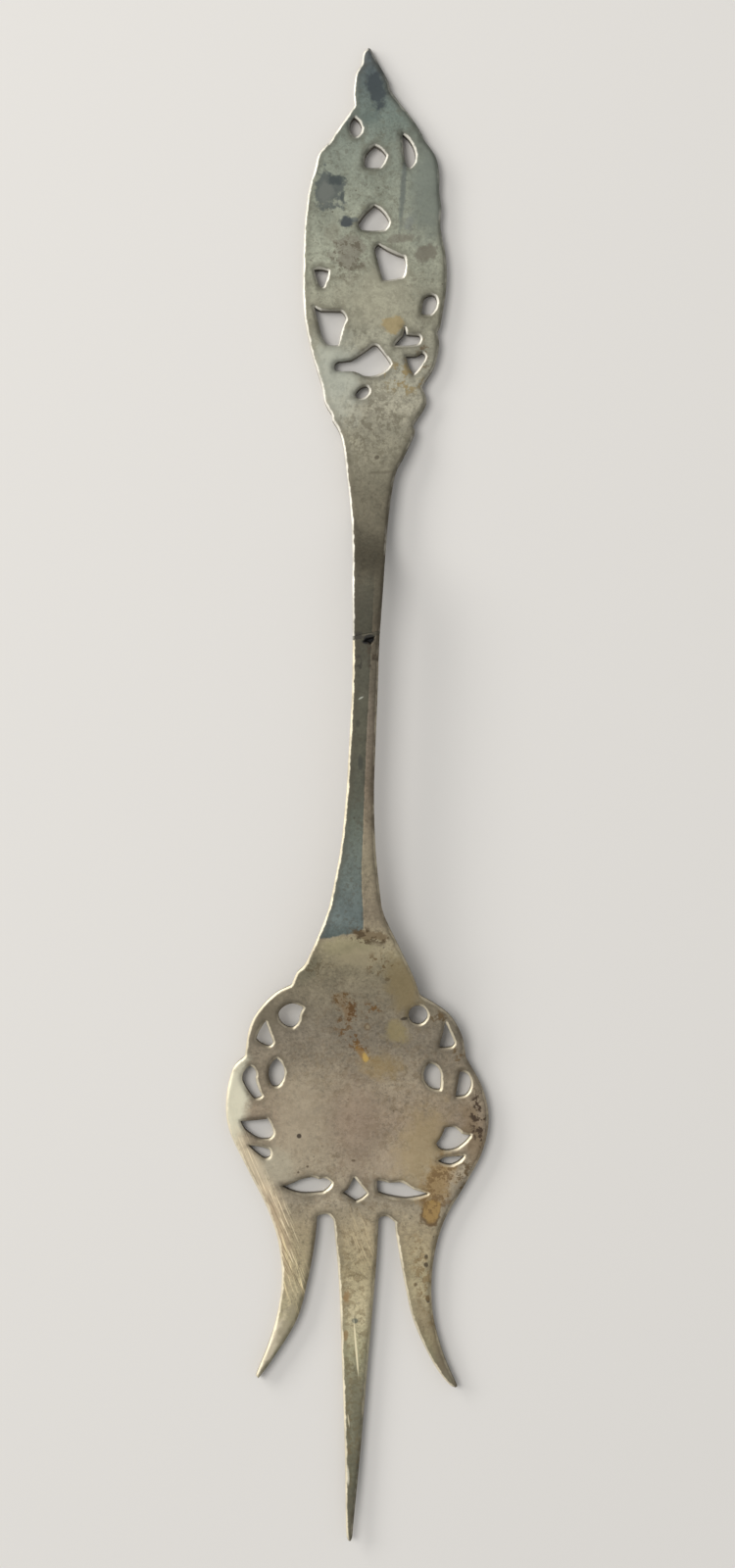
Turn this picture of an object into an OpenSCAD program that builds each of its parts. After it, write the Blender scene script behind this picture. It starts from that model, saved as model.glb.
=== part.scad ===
// Cake fork: a pierced handle blank and a pierced head blank with three tines,
// cut from sheet metal and soldered where they overlap in the stem.
// Frame: X across, Y along the fork with the handle tip at +Y, Z up out of the
// ornamented face. The fork lies on z = 0 with its head and its handle blade.

/* [Length] */
// Length from the tip of the middle tine to the tip of the handle
overall_len = 150; // [142:1:158]
// Length of the handle blade, from its tip to where the stem starts
blade_len = 51; // [47:0.5:54]
// Length of the middle tine, from its tip to the slots
tine_len = 32.7; // [29:0.1:35]
// Length of the head, from the slots to where the stem starts
head_len = 30.3; // [28.5:0.1:32.5]

/* [Width] */
// Width over the handle blade
blade_w = 14.4; // [12.8:0.2:16]
// Width over the head
head_w = 26.4; // [24:0.2:29]
// Width of the stem where it is narrowest
stem_w = 2.55; // [2.2:0.05:3.3]

/* [Side profile] */
// Thickness of the head plate and of the handle blade
plate_t = 1.3; // [1:0.05:1.7]
// Thickness of the stem
stem_t = 1.8; // [1.5:0.05:2.2]
// Thickness left at the tips of the tines
tip_t = 0.6; // [0.4:0.05:0.9]
// Height of the underside above the table at the crest of the neck
arch_h = 3; // [1.5:0.1:4.5]
// Height of the middle tine's tip above the table
tine_rise = 0.8; // [0:0.1:1.5]

/* [Piercing] */
// Size of each pierced opening against the drawn one
piercing = 1; // [0.8:0.02:1.05]

/* [Solder joint] */
// Where the joint line crosses the middle of the face, along Y
joint_y = 15.6; // [10:0.2:18]
// Length of the overlap
lap_len = 6; // [4:0.5:7]
// Thickness of the solder film between the two blanks
film_t = 0.12; // [0.08:0.01:0.2]
// Turn of the joint line against square across the stem, in degrees
joint_skew = 12; // [0:1:20]
// Width of the unfilled pit in the joint line
pit_w = 1.2; // [0.6:0.1:1.5]
// Depth of the pit
pit_depth = 0.5; // [0.2:0.1:0.8]

/* [Hidden] */

// Steps between two points of an edge curve, and degrees in a step of an arc
edge_steps = 5;
arc_step = 13;

tip_y = overall_len / 2;

// Handle edges from the tip down to the stem: [x, distance below the tip].
// Each list is one smooth curve. A filed notch or a corner lies between two.
flame_left = [[-1.1, 0], [-1.6, 0.5], [-1.8, 1.7], [-2.3, 2.6], [-2.5, 4.5], [-2.4, 5.9]];
shoulder_left = [[-2.5, 6.1], [-4, 8.3], [-4.9, 9.8]];
side_left = [
    [-5.05, 9.8], [-5.9, 10.9], [-6.3, 12.5], [-6.95, 15.5], [-7.2, 20], [-7.1, 26], [-6.4, 30],
    [-5.15, 34], [-4.75, 35.8], [-4.05, 37]
];
tail_left = [[-3.95, 37.6], [-3, 39.4], [-2.4, 43], [-1.9, 47], [-1.65, 51]];
flame_right = [[-0.9, 0.1], [0.1, 1.9], [0.9, 3.3], [1.35, 4.5], [3.4, 7.1], [4.45, 8.7]];
side_right = [
    [4.7, 9.3], [5.8, 10.8], [6.25, 12.5], [6.3, 14.5], [6.55, 16], [6.5, 18], [7.1, 21], [7.2, 24],
    [6.7, 27.8]
];
waist_right = [[6.4, 28.5], [6.6, 30], [6.15, 32], [5.25, 33.5]];
leaf_right = [[5, 34.1], [5.45, 35.6], [4.4, 37.5]];
tail_right = [[4.15, 38], [4.3, 38.8], [3.35, 41], [2.45, 43], [1.9, 47], [1.65, 51]];

// Stem edges: [part of the way from handle to head, left x, right x]
stem_edges = [
    [0.11, -1.58, 1.46], [0.25, -1.44, 1.22], [0.39, -1.4, 1.15], [0.53, -1.57, 1.05],
    [0.67, -1.77, 1], [0.81, -2.18, 1.25], [0.94, -2.95, 1.8]
];

// Head edges from the stem down to an outer tine's tip: [x, distance above the
// middle tine's tip]
neck_left = [[-3.45, 63], [-4.6, 60], [-5.5, 58], [-6.3, 57.1], [-6.8, 55.9]];
lobe_left = [[-6.9, 55.8], [-8.5, 54.9], [-10.05, 53.2], [-11, 51.3], [-11.4, 48.5]];
flank_left = [
    [-11.55, 48.3], [-12.6, 47.1], [-13.2, 44], [-12.8, 40.9], [-10.85, 37], [-8.75, 33],
    [-7.6, 29.5], [-7.25, 25.5], [-8, 21], [-9.65, 16.4]
];
neck_right = [[2.25, 63], [3.75, 60], [5.25, 57], [5.95, 55.2]];
lobe_right = [[6.1, 55], [7.7, 54.1], [9.2, 52.9], [10.3, 51], [10.75, 48.9]];
flank_right = [
    [11, 48.4], [12.6, 45.5], [13.2, 42.5], [12.6, 39.3], [10.95, 36], [8.8, 32], [7.85, 27.5],
    [8, 23], [9.1, 19], [10.6, 15.7]
];

// Inner edges of the tines and the two slots, from left to right
tine_left = [[-9.4, 16.1], [-8.05, 18], [-5.7, 22], [-4.65, 26], [-4, 30], [-3.85, 32]];
slot_left = [[-3.8, 32.5], [-3.3, 32.7], [-2.7, 32.7], [-2.2, 32.2]];
middle_left = [[-2.15, 32], [-1.5, 26], [-1, 17.5], [-0.55, 9], [-0.35, 3], [-0.22, 0.7], [-0.05, 0.1]];
middle_right = [[0.15, 0], [0.35, 0.4], [0.47, 2], [1, 9], [1.55, 17.5], [2.1, 26], [2.3, 30], [2.35, 32]];
slot_right = [[2.4, 32.4], [2.7, 32.6], [3.3, 32.6], [4, 32.05]];
tine_right = [[4.1, 31], [5.1, 26], [6.15, 22], [8.15, 18], [9.7, 16], [10.4, 15.6]];

// Pierced openings: the corners of each, as [x, distance, bow of the side that
// follows], where a positive bow swells the opening.
// Handle, from the tip to the stem, with the distance below the tip
blade_openings = [
    [[-2.4, 7.1, 0.15], [-1.6, 8.2, 0.2], [-2.3, 9.05, 0.15], [-2.8, 8, 0.1]],
    [[-1.2, 12.1, 0.05], [-1.2, 11, 0.1], [-0.3, 9.9, 0.15], [0.9, 10.9, 0.1], [0.3, 12.1, 0.05]],
    [[2.5, 8.7, 0.3], [3.85, 11, 0.15], [3.3, 12.05, 0.15], [2.8, 11.3, 0.05]],
    [[-1.75, 17.7, 0.1], [-0.2, 15.9, 0.2], [1.3, 17.5, 0.1], [0.9, 18.3, 0.1], [-1.4, 18.4, 0.1]],
    [[0.3, 19.8, -0.15], [2.9, 21, 0.2], [2.8, 23, 0.1], [0.8, 23.4, 0], [0, 20.6, 0.15]],
    [[-6.1, 22.5, 0.1], [-4.65, 22.6, 0.05], [-5.1, 24.2, 0.1], [-5.6, 24, 0]],
    [[5, 25.2, 0.25], [6.1, 24.9, 0.35], [5.7, 26.7, 0.05], [4.8, 26.7, 0.05]],
    [
        [-6, 26.2, -0.05], [-5.3, 26.6, 0], [-3.3, 26.6, 0.1], [-2.8, 27.4, -0.1], [-3.5, 30, 0.05],
        [-4.6, 30, 0.1], [-5.3, 28.8, 0]
    ],
    [[2.15, 29.9, 0.05], [2.9, 29, -0.05], [3.1, 28, 0], [3.3, 28.8, 0], [4.6, 28.9, 0.2], [4.4, 29.7, 0.1]],
    [
        [-3.9, 32.2, 0.2], [-3.2, 31.65, 0], [-2.2, 31.5, -0.05], [-0.1, 30, 0.05], [0.4, 30, 0.05],
        [1.8, 31.8, 0.15], [0.4, 32.9, 0.1], [-1, 33, -0.05], [-2, 32.6, 0], [-3.6, 32.6, 0.1]
    ],
    [[3.3, 31, 0], [4.2, 31, -0.05], [4.9, 30.6, 0.15], [5.2, 31.2, 0.05], [4.1, 32.8, 0.1]],
    [[-1.7, 34.9, 0.2], [-0.6, 34.1, 0.2], [-0.5, 34.9, 0.1], [-1.3, 35.3, 0.15]]
];
// Head, down the left side, down the right side, then the row above the tines,
// with the distance above the middle tine's tip
head_openings = [
    [
        [-8.1, 52.9, 0.25], [-6.7, 53.95, 0.1], [-5.6, 53.5, -0.1], [-6, 52.3, 0.1], [-6.6, 51.5, 0.1],
        [-7.6, 51.8, 0.15]
    ],
    [[-9.35, 52.1, 0], [-8.6, 50, 0.15], [-9.1, 49.55, 0.1], [-10.3, 50.2, 0.1]],
    [[-8.2, 48.3, 0.7], [-8, 45.5, 0.05], [-8.6, 45.5, 0.6]],
    [[-10.9, 47.5, 0.3], [-10.3, 46.3, -0.1], [-9.6, 44.5, 0.1], [-10.4, 44.2, 0.1], [-11.6, 46, 0.25]],
    [
        [-11.7, 41.9, -0.05], [-9, 42.2, 0.1], [-8.4, 40.8, 0.1], [-8.8, 40.2, 0.05], [-9.9, 40.2, 0.05],
        [-11.2, 41, 0.05]
    ],
    [[-10.9, 39.5, 0.05], [-8.8, 39.15, 0.1], [-8.7, 38.4, 0.15], [-9.5, 38.35, 0.05]],
    [[4.9, 53.05, 0.95], [6.8, 53.05, 0.95]],
    [[8.6, 52.4, 0], [9.6, 50.3, 0.15], [9.1, 49.8, 0.05], [8.1, 49.75, 0.05], [8.3, 50.8, 0]],
    [[7.05, 48.05, 0.05], [7.7, 47.95, 0.2], [8.3, 46.6, 0.03], [8.25, 45.5, 0.1], [7.2, 45.7, 0.55]],
    [[10.2, 47.3, 0.1], [11, 47.1, 0.45], [10.8, 44.95, 0.05], [9.8, 44.8, 0]],
    [
        [8.8, 41.6, 0.1], [9.9, 41.7, 0], [10.5, 41.1, -0.05], [11.45, 41, 0.1], [10.2, 39.7, 0.1],
        [8.8, 39.4, 0.2], [8, 40.1, -0.1]
    ],
    [[8.2, 38.3, 0.1], [9.3, 38.75, 0], [10.85, 38.9, 0.15], [9.5, 37.95, 0.1]],
    [
        [-7.4, 35.45, -0.05], [-6.2, 35.85, 0.1], [-4.5, 36.4, 0.05], [-3.7, 36.2, 0], [-3.3, 36.35, 0.1],
        [-2.4, 35.9, 0.1], [-3.3, 34.95, 0.05], [-5.5, 34.8, 0.1]
    ],
    [[-1.3, 34.9, 0], [-0.8, 35.3, 0], [-0.2, 36.5, 0], [1.15, 34.9, 0.1], [0, 34.1, 0]],
    [
        [2.15, 36.2, 0.05], [3.3, 36, 0], [4.5, 36.1, 0.05], [5.8, 35.4, 0], [7.3, 35, 0.1], [5, 34.5, 0.1],
        [2.3, 35, 0.1]
    ]
];

// Smooth curve through a list of points. At each point it runs parallel to the
// line between that point's neighbours.
function between(a, b, c, d, t) =
    b + t / 2 * (c - a + t * (2 * a - 5 * b + 4 * c - d + t * (3 * (b - c) + d - a)));
function curve(p, steps) = [
    for (i = [0:len(p) - 2], k = [0:steps - 1])
        between(p[max(i - 1, 0)], p[i], p[i + 1], p[min(i + 2, len(p) - 1)], k / steps),
    p[len(p) - 1]
];
function back(p) = [for (i = [len(p) - 1:-1:0]) p[i]];

// Arc from a to b that swells by bow to the right of the way from a to b, with
// b itself left to the next side. Half the arc's angle is 2 atan(2 bow / chord).
function arc(a, b, bow) =
    let (
        chord = norm(b - a),
        along = (b - a) / chord,
        right = [along[1], -along[0]],
        half = 2 * atan(2 * bow / chord),
        steps = max(1, ceil(abs(half) * 2 / arc_step)),
        r = abs(half) < 1 ? 0 : chord / 2 / sin(half)
    )
    [
        for (k = [0:steps - 1])
            let (t = half * (2 * k / steps - 1))
            r == 0
                ? a + along * chord * k / steps
                : (a + b) / 2 + r * (sin(t) * along + (cos(t) - cos(half)) * right)
    ];

// Closed outline of an opening whose corners run clockwise (turn = -1) or
// counter-clockwise (turn = 1)
function middle(corners) = [
    for (k = [0, 1])
        [for (c = corners) c[k]] * [for (c = corners) 1] / len(corners)
];
function turn(corners) = sign([
    for (i = [0:len(corners) - 1])
        let (a = corners[i], b = corners[(i + 1) % len(corners)])
        a[0] * b[1] - a[1] * b[0]
] * [for (c = corners) 1]);
function opening(corners) = [
    for (i = [0:len(corners) - 1])
        let (a = corners[i], b = corners[(i + 1) % len(corners)], way = turn(corners))
        each arc([a[0], a[1]], [b[0], b[1]], (way == 0 ? 1 : way) * a[2])
];

// Sizes of the curves as drawn
function span(left, right) = max([for (q = right) q[0]]) - min([for (q = left) q[0]]);
drawn_blade = tail_left[len(tail_left) - 1][1];
drawn_tine = slot_left[1][1];
drawn_neck = neck_left[0][1];
blade_scale = blade_w / span(side_left, side_right);
head_scale = head_w / span(flank_left, flank_right);
stem_scale = stem_w / min([for (s = stem_edges) s[2] - s[1]]);

// Places along the fork, each as a part of one of its lengths
function along_tine(part) = part * tine_len - tip_y;
function along_head(part) = tine_len + part * head_len - tip_y;
function along_blade(part) = tip_y - part * blade_len;
function along_stem(part) = along_blade(1) + part * (along_head(1) - along_blade(1));

// From drawn points to points of the frame
function blade_y(d) = along_blade(d / drawn_blade);
function head_y(d) =
    d < drawn_tine
        ? along_tine(d / drawn_tine)
        : along_head((d - drawn_tine) / (drawn_neck - drawn_tine));
function on_blade(p) = [for (q = p) [q[0] * blade_scale, blade_y(q[1])]];
function on_head(p) = [for (q = p) [q[0] * head_scale, head_y(q[1])]];
function on_stem(side) = [for (s = stem_edges) [s[side] * stem_scale, along_stem(s[0])]];

// Long edges of the fork, from the handle tip to an outer tine's tip, and the
// inner edges of the tines
function joined(curves) = [for (c = curves) each curve(c, edge_steps)];
left_edge = joined([
    on_blade(flame_left),
    on_blade(shoulder_left),
    on_blade(side_left),
    concat(on_blade(tail_left), on_stem(1), on_head(neck_left)),
    on_head(lobe_left),
    on_head(flank_left)
]);
right_edge = joined([
    on_blade(flame_right),
    on_blade(side_right),
    on_blade(waist_right),
    on_blade(leaf_right),
    concat(on_blade(tail_right), on_stem(2), on_head(neck_right)),
    on_head(lobe_right),
    on_head(flank_right)
]);
tine_edges = joined([
    on_head(tine_left),
    on_head(slot_left),
    on_head(middle_left),
    on_head(middle_right),
    on_head(slot_right),
    on_head(tine_right)
]);

// Each blank is drawn a little past the overlap, and then cut along the scarf
spare = 3;
function above(p, y) = [for (q = p) if (q[1] > y) q];
function below(p, y) = [for (q = p) if (q[1] < y) q];
blade_outline = concat(above(left_edge, joint_y - spare), back(above(right_edge, joint_y - spare)));
head_outline = concat(
    below(left_edge, joint_y + lap_len + spare),
    tine_edges,
    back(below(right_edge, joint_y + lap_len + spare))
);

// Side view of the whole fork: [y, height of the underside, thickness]
half_t = (plate_t + stem_t) / 2;
profile = curve([
    [along_tine(0), tine_rise, tip_t],
    [along_tine(0.28), tine_rise * 0.45, tip_t + (plate_t - tip_t) * 0.45],
    [along_tine(0.52), tine_rise * 0.15, tip_t + (plate_t - tip_t) * 0.75],
    [along_tine(0.8), 0, plate_t],
    [along_head(0.37), 0, plate_t],
    [along_head(0.54), arch_h * 0.12, plate_t],
    [along_head(0.7), arch_h * 0.5, (plate_t + half_t) / 2],
    [along_head(0.85), arch_h * 0.89, half_t],
    [along_head(0.94), arch_h, stem_t],
    [along_stem(0.97), arch_h * 0.98, stem_t],
    [along_stem(0.6), arch_h * 0.8, stem_t],
    [along_stem(0.2), arch_h * 0.5, stem_t],
    [along_blade(0.84), arch_h * 0.18, half_t],
    [along_blade(0.7), 0, plate_t],
    [along_blade(0.16), 0, plate_t],
    [along_blade(0), 0, plate_t * 0.7]
], 4);
underside = [for (q = profile) [q[0], max(q[1], 0)]];
face = [for (q = profile) [q[0], max(q[1], 0) + q[2]]];

// Scarf: a plane that slopes from the joint line on the face down to the
// underside at the end of the overlap
joint_z = lookup(joint_y, face);
slope = (lookup(joint_y + lap_len, underside) - joint_z) / lap_len;
half_film = film_t / 2 * sqrt(1 + slope * slope);
reach = overall_len;

// Flat shape that stands in the YZ plane, extruded across the whole width
module across(points) {
    rotate([90, 0, 90])
        translate([0, 0, -reach / 2])
            linear_extrude(reach)
                polygon(points);
}

// Everything between two heights above the scarf plane, whose line is turned
// against square across the stem
module scarf_slice(low, high) {
    translate([0, joint_y, joint_z])
        rotate([0, 0, joint_skew])
            across([
                [-reach, low - reach * slope],
                [reach, low + reach * slope],
                [reach, high + reach * slope],
                [-reach, high - reach * slope]
            ]);
}

// Sheet blank: the plan with its piercing, bent to the side view
module blank(outline, openings) {
    intersection() {
        linear_extrude(arch_h + stem_t + 1)
            difference() {
                polygon(outline);
                for (p = openings)
                    translate(middle(p))
                        scale(piercing)
                            translate(-middle(p))
                                polygon(p);
            }
        across(concat(underside, back(face)));
    }
}

// Unfilled pit on the head's side of the joint line
module pit() {
    translate([pit_w * 0.2, joint_y, joint_z - pit_depth])
        linear_extrude(pit_depth + stem_t)
            polygon(pit_w * [[-0.55, -0.45], [-0.25, -0.15], [0.45, 0.1], [0.35, -0.3], [0.1, -0.7], [-0.1, -0.5]]);
}

// Blade with its flame-shaped tip, and the upper stem
module handle() {
    color("#8c8975")
        intersection() {
            blank(blade_outline, [for (c = blade_openings) on_blade(opening(c))]);
            scarf_slice(half_film, reach);
        }
}

// Lower stem, head plate and three tines
module head() {
    color("#a4957a")
        difference() {
            intersection() {
                blank(head_outline, [for (c = head_openings) on_head(opening(c))]);
                scarf_slice(-reach, -half_film);
            }
            pit();
        }
}

// Film of solder between the two scarf faces
module solder() {
    color("#5f6058")
        difference() {
            intersection() {
                blank(head_outline, []);
                scarf_slice(-half_film, half_film);
            }
            pit();
        }
}

handle();
head();
solder();
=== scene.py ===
# %% [markdown]
# # A pierced cake fork in sheet metal
# The real fork is two blanks, sawn from sheet metal and soldered together in
# the stem. The handle blank has a flame-shaped tip and twelve openings. The
# head blank has fifteen openings and three tines. Age has left a dull grey
# skin, worn through to brass where the fork rubs against things.
#
# In Blender a sheet like this is best made as its two faces and the wall
# between them. Each face is a height over the plan, so the same short formulas
# give the worn edges, the bend of the neck and the ridge of the stem. First the
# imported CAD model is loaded. It fixes the size and the place of each piece.

# %% Load the frame
import math
import bpy
import numpy as np
from mathutils.geometry import delaunay_2d_cdt
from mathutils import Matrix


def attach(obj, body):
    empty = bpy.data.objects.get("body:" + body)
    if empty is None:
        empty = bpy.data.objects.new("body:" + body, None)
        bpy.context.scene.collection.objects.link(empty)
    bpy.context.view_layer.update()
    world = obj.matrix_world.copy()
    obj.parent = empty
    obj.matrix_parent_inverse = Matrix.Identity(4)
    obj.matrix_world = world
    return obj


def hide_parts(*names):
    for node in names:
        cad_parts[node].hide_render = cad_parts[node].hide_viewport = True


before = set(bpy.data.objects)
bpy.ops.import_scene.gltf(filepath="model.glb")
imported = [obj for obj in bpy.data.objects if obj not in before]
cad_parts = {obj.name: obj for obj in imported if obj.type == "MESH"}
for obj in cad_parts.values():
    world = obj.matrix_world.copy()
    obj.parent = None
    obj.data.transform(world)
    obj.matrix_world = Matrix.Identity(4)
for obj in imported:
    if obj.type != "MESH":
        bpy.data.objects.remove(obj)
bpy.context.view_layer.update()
MM = 0.001
print("CAD nodes:", sorted(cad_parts))

# %% [markdown]
# ## The fork's own measures
# The numbers are millimetres, with the tip of the middle tine at -75 and the
# tip of the handle at +75 along Y. They are the measures of the CAD model,
# because the dressed pieces have to lie exactly where its solids lie.

# %% Measures
HALF_LENGTH = 75.0
PLATE = 1.3
STEM = 1.8
TIP = 0.6
ARCH = 3.0
TINE_RISE = 0.8
JOINT_Y = 15.6
OVERLAP = 6.0
FILM = 0.12
SKEW = math.radians(12)
print("sheet", PLATE, "mm, stem", STEM, "mm, solder film", FILM, "mm")

# %% [markdown]
# ## Edges as smooth curves
# A sawn and filed edge runs smoothly from one corner to the next. A spline that
# passes through a few points gives that line, and a corner is left wherever one
# spline ends and the next begins. The points are then spread evenly, so that
# the mesh has no crowded places.

# %% Spline and even spacing
def spread(points, step):
    """Points spaced evenly along a line. The length run so far is summed over
    the line, and x and y are read off at equal lengths of about one step."""
    points = np.asarray(points, float)
    run = np.concatenate([[0], np.cumsum(np.hypot(*np.diff(points, axis=0).T))])
    count = max(1, int(round(run[-1] / step)))
    marks = np.linspace(0, run[-1], count + 1)
    return np.column_stack([np.interp(marks, run, points[:, k]) for k in (0, 1)])


def spline(points, samples=24):
    """Smooth line through points. Between b and c, with a before and d after,
    it is b + t/2 (c - a + t (2a - 5b + 4c - d + t (3 (b - c) + d - a))), so at
    each point it runs parallel to the line between that point's neighbours."""
    p = np.asarray(points, float)
    a, b = np.vstack([p[:1], p[:-2]])[:, None], p[:-1, None]
    c, d = p[1:, None], np.vstack([p[2:], p[-1:]])[:, None]
    t = np.linspace(0, 1, samples, endpoint=False)[None, :, None]
    line = b + t / 2 * (c - a + t * (2 * a - 5 * b + 4 * c - d + t * (3 * (b - c) + d - a)))
    return np.vstack([line.reshape(-1, p.shape[1]), p[-1:]])


EDGE_STEP = 0.16
print("a straight line of 1 mm gets", len(spread([[0, 0], [1, 0]], EDGE_STEP)), "points")

# %% [markdown]
# ## The plan of the handle and the stem
# Distances are counted down from the tip of the handle. The left and right
# edges differ, as they do on a piece that was sawn by hand: each has its own
# shoulder and waist, and the right edge has a leaf-like bump.

# %% Handle and stem edges
FLAME_LEFT = [[-1.1, 0], [-1.6, 0.5], [-1.8, 1.7], [-2.3, 2.6], [-2.5, 4.5], [-2.4, 5.9]]
SHOULDER_LEFT = [[-2.5, 6.1], [-4, 8.3], [-4.9, 9.8]]
SIDE_LEFT = [
    [-5.05, 9.8], [-5.9, 10.9], [-6.3, 12.5], [-6.95, 15.5], [-7.2, 20], [-7.1, 26],
    [-6.4, 30], [-5.15, 34], [-4.75, 35.8], [-4.05, 37],
]
TAIL_LEFT = [[-3.95, 37.6], [-3, 39.4], [-2.4, 43], [-1.9, 47], [-1.65, 51]]
FLAME_RIGHT = [[-0.9, 0.1], [0.1, 1.9], [0.9, 3.3], [1.35, 4.5], [3.4, 7.1], [4.45, 8.7]]
SIDE_RIGHT = [
    [4.7, 9.3], [5.8, 10.8], [6.25, 12.5], [6.3, 14.5], [6.55, 16], [6.5, 18],
    [7.1, 21], [7.2, 24], [6.7, 27.8],
]
WAIST_RIGHT = [[6.4, 28.5], [6.6, 30], [6.15, 32], [5.25, 33.5]]
LEAF_RIGHT = [[5, 34.1], [5.45, 35.6], [4.4, 37.5]]
TAIL_RIGHT = [[4.15, 38], [4.3, 38.8], [3.35, 41], [2.45, 43], [1.9, 47], [1.65, 51]]
STEM_ROWS = [
    [0.11, -1.58, 1.46], [0.25, -1.44, 1.22], [0.39, -1.4, 1.15], [0.53, -1.57, 1.05],
    [0.67, -1.77, 1], [0.81, -2.18, 1.25], [0.94, -2.95, 1.8],
]
STEM_TOP, STEM_END = HALF_LENGTH - 51, 63 - HALF_LENGTH


def from_tip(points):
    """Points of the handle: Y is the half length less the distance counted."""
    return [[x, HALF_LENGTH - d] for x, d in points]


def from_stem(side):
    """One edge of the stem: Y goes from the stem's top to its end by the part
    in each row."""
    return [[row[side], STEM_TOP + row[0] * (STEM_END - STEM_TOP)] for row in STEM_ROWS]


print("stem from", STEM_TOP, "to", STEM_END, "mm")

# %% [markdown]
# ## The plan of the head
# Here distances are counted up from the tip of the middle tine. The outline
# goes down the neck, round a lobe and round the flank to an outer tine. The
# inner edges of the tines run in one line from left to right, through the two
# slots.

# %% Head edges
NECK_LEFT = [[-3.45, 63], [-4.6, 60], [-5.5, 58], [-6.3, 57.1], [-6.8, 55.9]]
LOBE_LEFT = [[-6.9, 55.8], [-8.5, 54.9], [-10.05, 53.2], [-11, 51.3], [-11.4, 48.5]]
FLANK_LEFT = [
    [-11.55, 48.3], [-12.6, 47.1], [-13.2, 44], [-12.8, 40.9], [-10.85, 37], [-8.75, 33],
    [-7.6, 29.5], [-7.25, 25.5], [-8, 21], [-9.65, 16.4],
]
NECK_RIGHT = [[2.25, 63], [3.75, 60], [5.25, 57], [5.95, 55.2]]
LOBE_RIGHT = [[6.1, 55], [7.7, 54.1], [9.2, 52.9], [10.3, 51], [10.75, 48.9]]
FLANK_RIGHT = [
    [11, 48.4], [12.6, 45.5], [13.2, 42.5], [12.6, 39.3], [10.95, 36], [8.8, 32],
    [7.85, 27.5], [8, 23], [9.1, 19], [10.6, 15.7],
]
TINE_LINES = [
    [[-9.4, 16.1], [-8.05, 18], [-5.7, 22], [-4.65, 26], [-4, 30], [-3.85, 32]],
    [[-3.8, 32.5], [-3.3, 32.7], [-2.7, 32.7], [-2.2, 32.2]],
    [[-2.15, 32], [-1.5, 26], [-1, 17.5], [-0.55, 9], [-0.35, 3], [-0.22, 0.7], [-0.05, 0.1]],
    [[0.15, 0], [0.35, 0.4], [0.47, 2], [1, 9], [1.55, 17.5], [2.1, 26], [2.3, 30], [2.35, 32]],
    [[2.4, 32.4], [2.7, 32.6], [3.3, 32.6], [4, 32.05]],
    [[4.1, 31], [5.1, 26], [6.15, 22], [8.15, 18], [9.7, 16], [10.4, 15.6]],
]


def from_tine(points):
    """Points of the head: Y is the distance counted less the half length."""
    return [[x, d - HALF_LENGTH] for x, d in points]


def one_edge(curves):
    """Splines laid end to end, each with its points spread evenly."""
    return np.vstack([spread(spline(c), EDGE_STEP) for c in curves])


left_edge = one_edge([
    from_tip(FLAME_LEFT), from_tip(SHOULDER_LEFT), from_tip(SIDE_LEFT),
    from_tip(TAIL_LEFT) + from_stem(1) + from_tine(NECK_LEFT),
    from_tine(LOBE_LEFT), from_tine(FLANK_LEFT),
])
right_edge = one_edge([
    from_tip(FLAME_RIGHT), from_tip(SIDE_RIGHT), from_tip(WAIST_RIGHT), from_tip(LEAF_RIGHT),
    from_tip(TAIL_RIGHT) + from_stem(2) + from_tine(NECK_RIGHT),
    from_tine(LOBE_RIGHT), from_tine(FLANK_RIGHT),
])
tine_edge = one_edge([from_tine(c) for c in TINE_LINES])
print("edge points:", len(left_edge), len(right_edge), len(tine_edge))

# %% [markdown]
# ## The pierced openings
# Each opening was sawn out through a drilled hole, so its sides are short arcs
# that meet in corners. An opening is listed by its corners, and the third
# number tells how far the next side swells outwards. A side with no swell is
# straight.

# %% Openings of the handle
BLADE_OPENINGS = [
    [[-2.4, 7.1, 0.15], [-1.6, 8.2, 0.2], [-2.3, 9.05, 0.15], [-2.8, 8, 0.1]],
    [[-1.2, 12.1, 0.05], [-1.2, 11, 0.1], [-0.3, 9.9, 0.15], [0.9, 10.9, 0.1], [0.3, 12.1, 0.05]],
    [[2.5, 8.7, 0.3], [3.85, 11, 0.15], [3.3, 12.05, 0.15], [2.8, 11.3, 0.05]],
    [[-1.75, 17.7, 0.1], [-0.2, 15.9, 0.2], [1.3, 17.5, 0.1], [0.9, 18.3, 0.1], [-1.4, 18.4, 0.1]],
    [[0.3, 19.8, -0.15], [2.9, 21, 0.2], [2.8, 23, 0.1], [0.8, 23.4, 0], [0, 20.6, 0.15]],
    [[-6.1, 22.5, 0.1], [-4.65, 22.6, 0.05], [-5.1, 24.2, 0.1], [-5.6, 24, 0]],
    [[5, 25.2, 0.25], [6.1, 24.9, 0.35], [5.7, 26.7, 0.05], [4.8, 26.7, 0.05]],
    [
        [-6, 26.2, -0.05], [-5.3, 26.6, 0], [-3.3, 26.6, 0.1], [-2.8, 27.4, -0.1],
        [-3.5, 30, 0.05], [-4.6, 30, 0.1], [-5.3, 28.8, 0],
    ],
    [
        [2.15, 29.9, 0.05], [2.9, 29, -0.05], [3.1, 28, 0], [3.3, 28.8, 0], [4.6, 28.9, 0.2],
        [4.4, 29.7, 0.1],
    ],
    [
        [-3.9, 32.2, 0.2], [-3.2, 31.65, 0], [-2.2, 31.5, -0.05], [-0.1, 30, 0.05], [0.4, 30, 0.05],
        [1.8, 31.8, 0.15], [0.4, 32.9, 0.1], [-1, 33, -0.05], [-2, 32.6, 0], [-3.6, 32.6, 0.1],
    ],
    [[3.3, 31, 0], [4.2, 31, -0.05], [4.9, 30.6, 0.15], [5.2, 31.2, 0.05], [4.1, 32.8, 0.1]],
    [[-1.7, 34.9, 0.2], [-0.6, 34.1, 0.2], [-0.5, 34.9, 0.1], [-1.3, 35.3, 0.15]],
]
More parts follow.
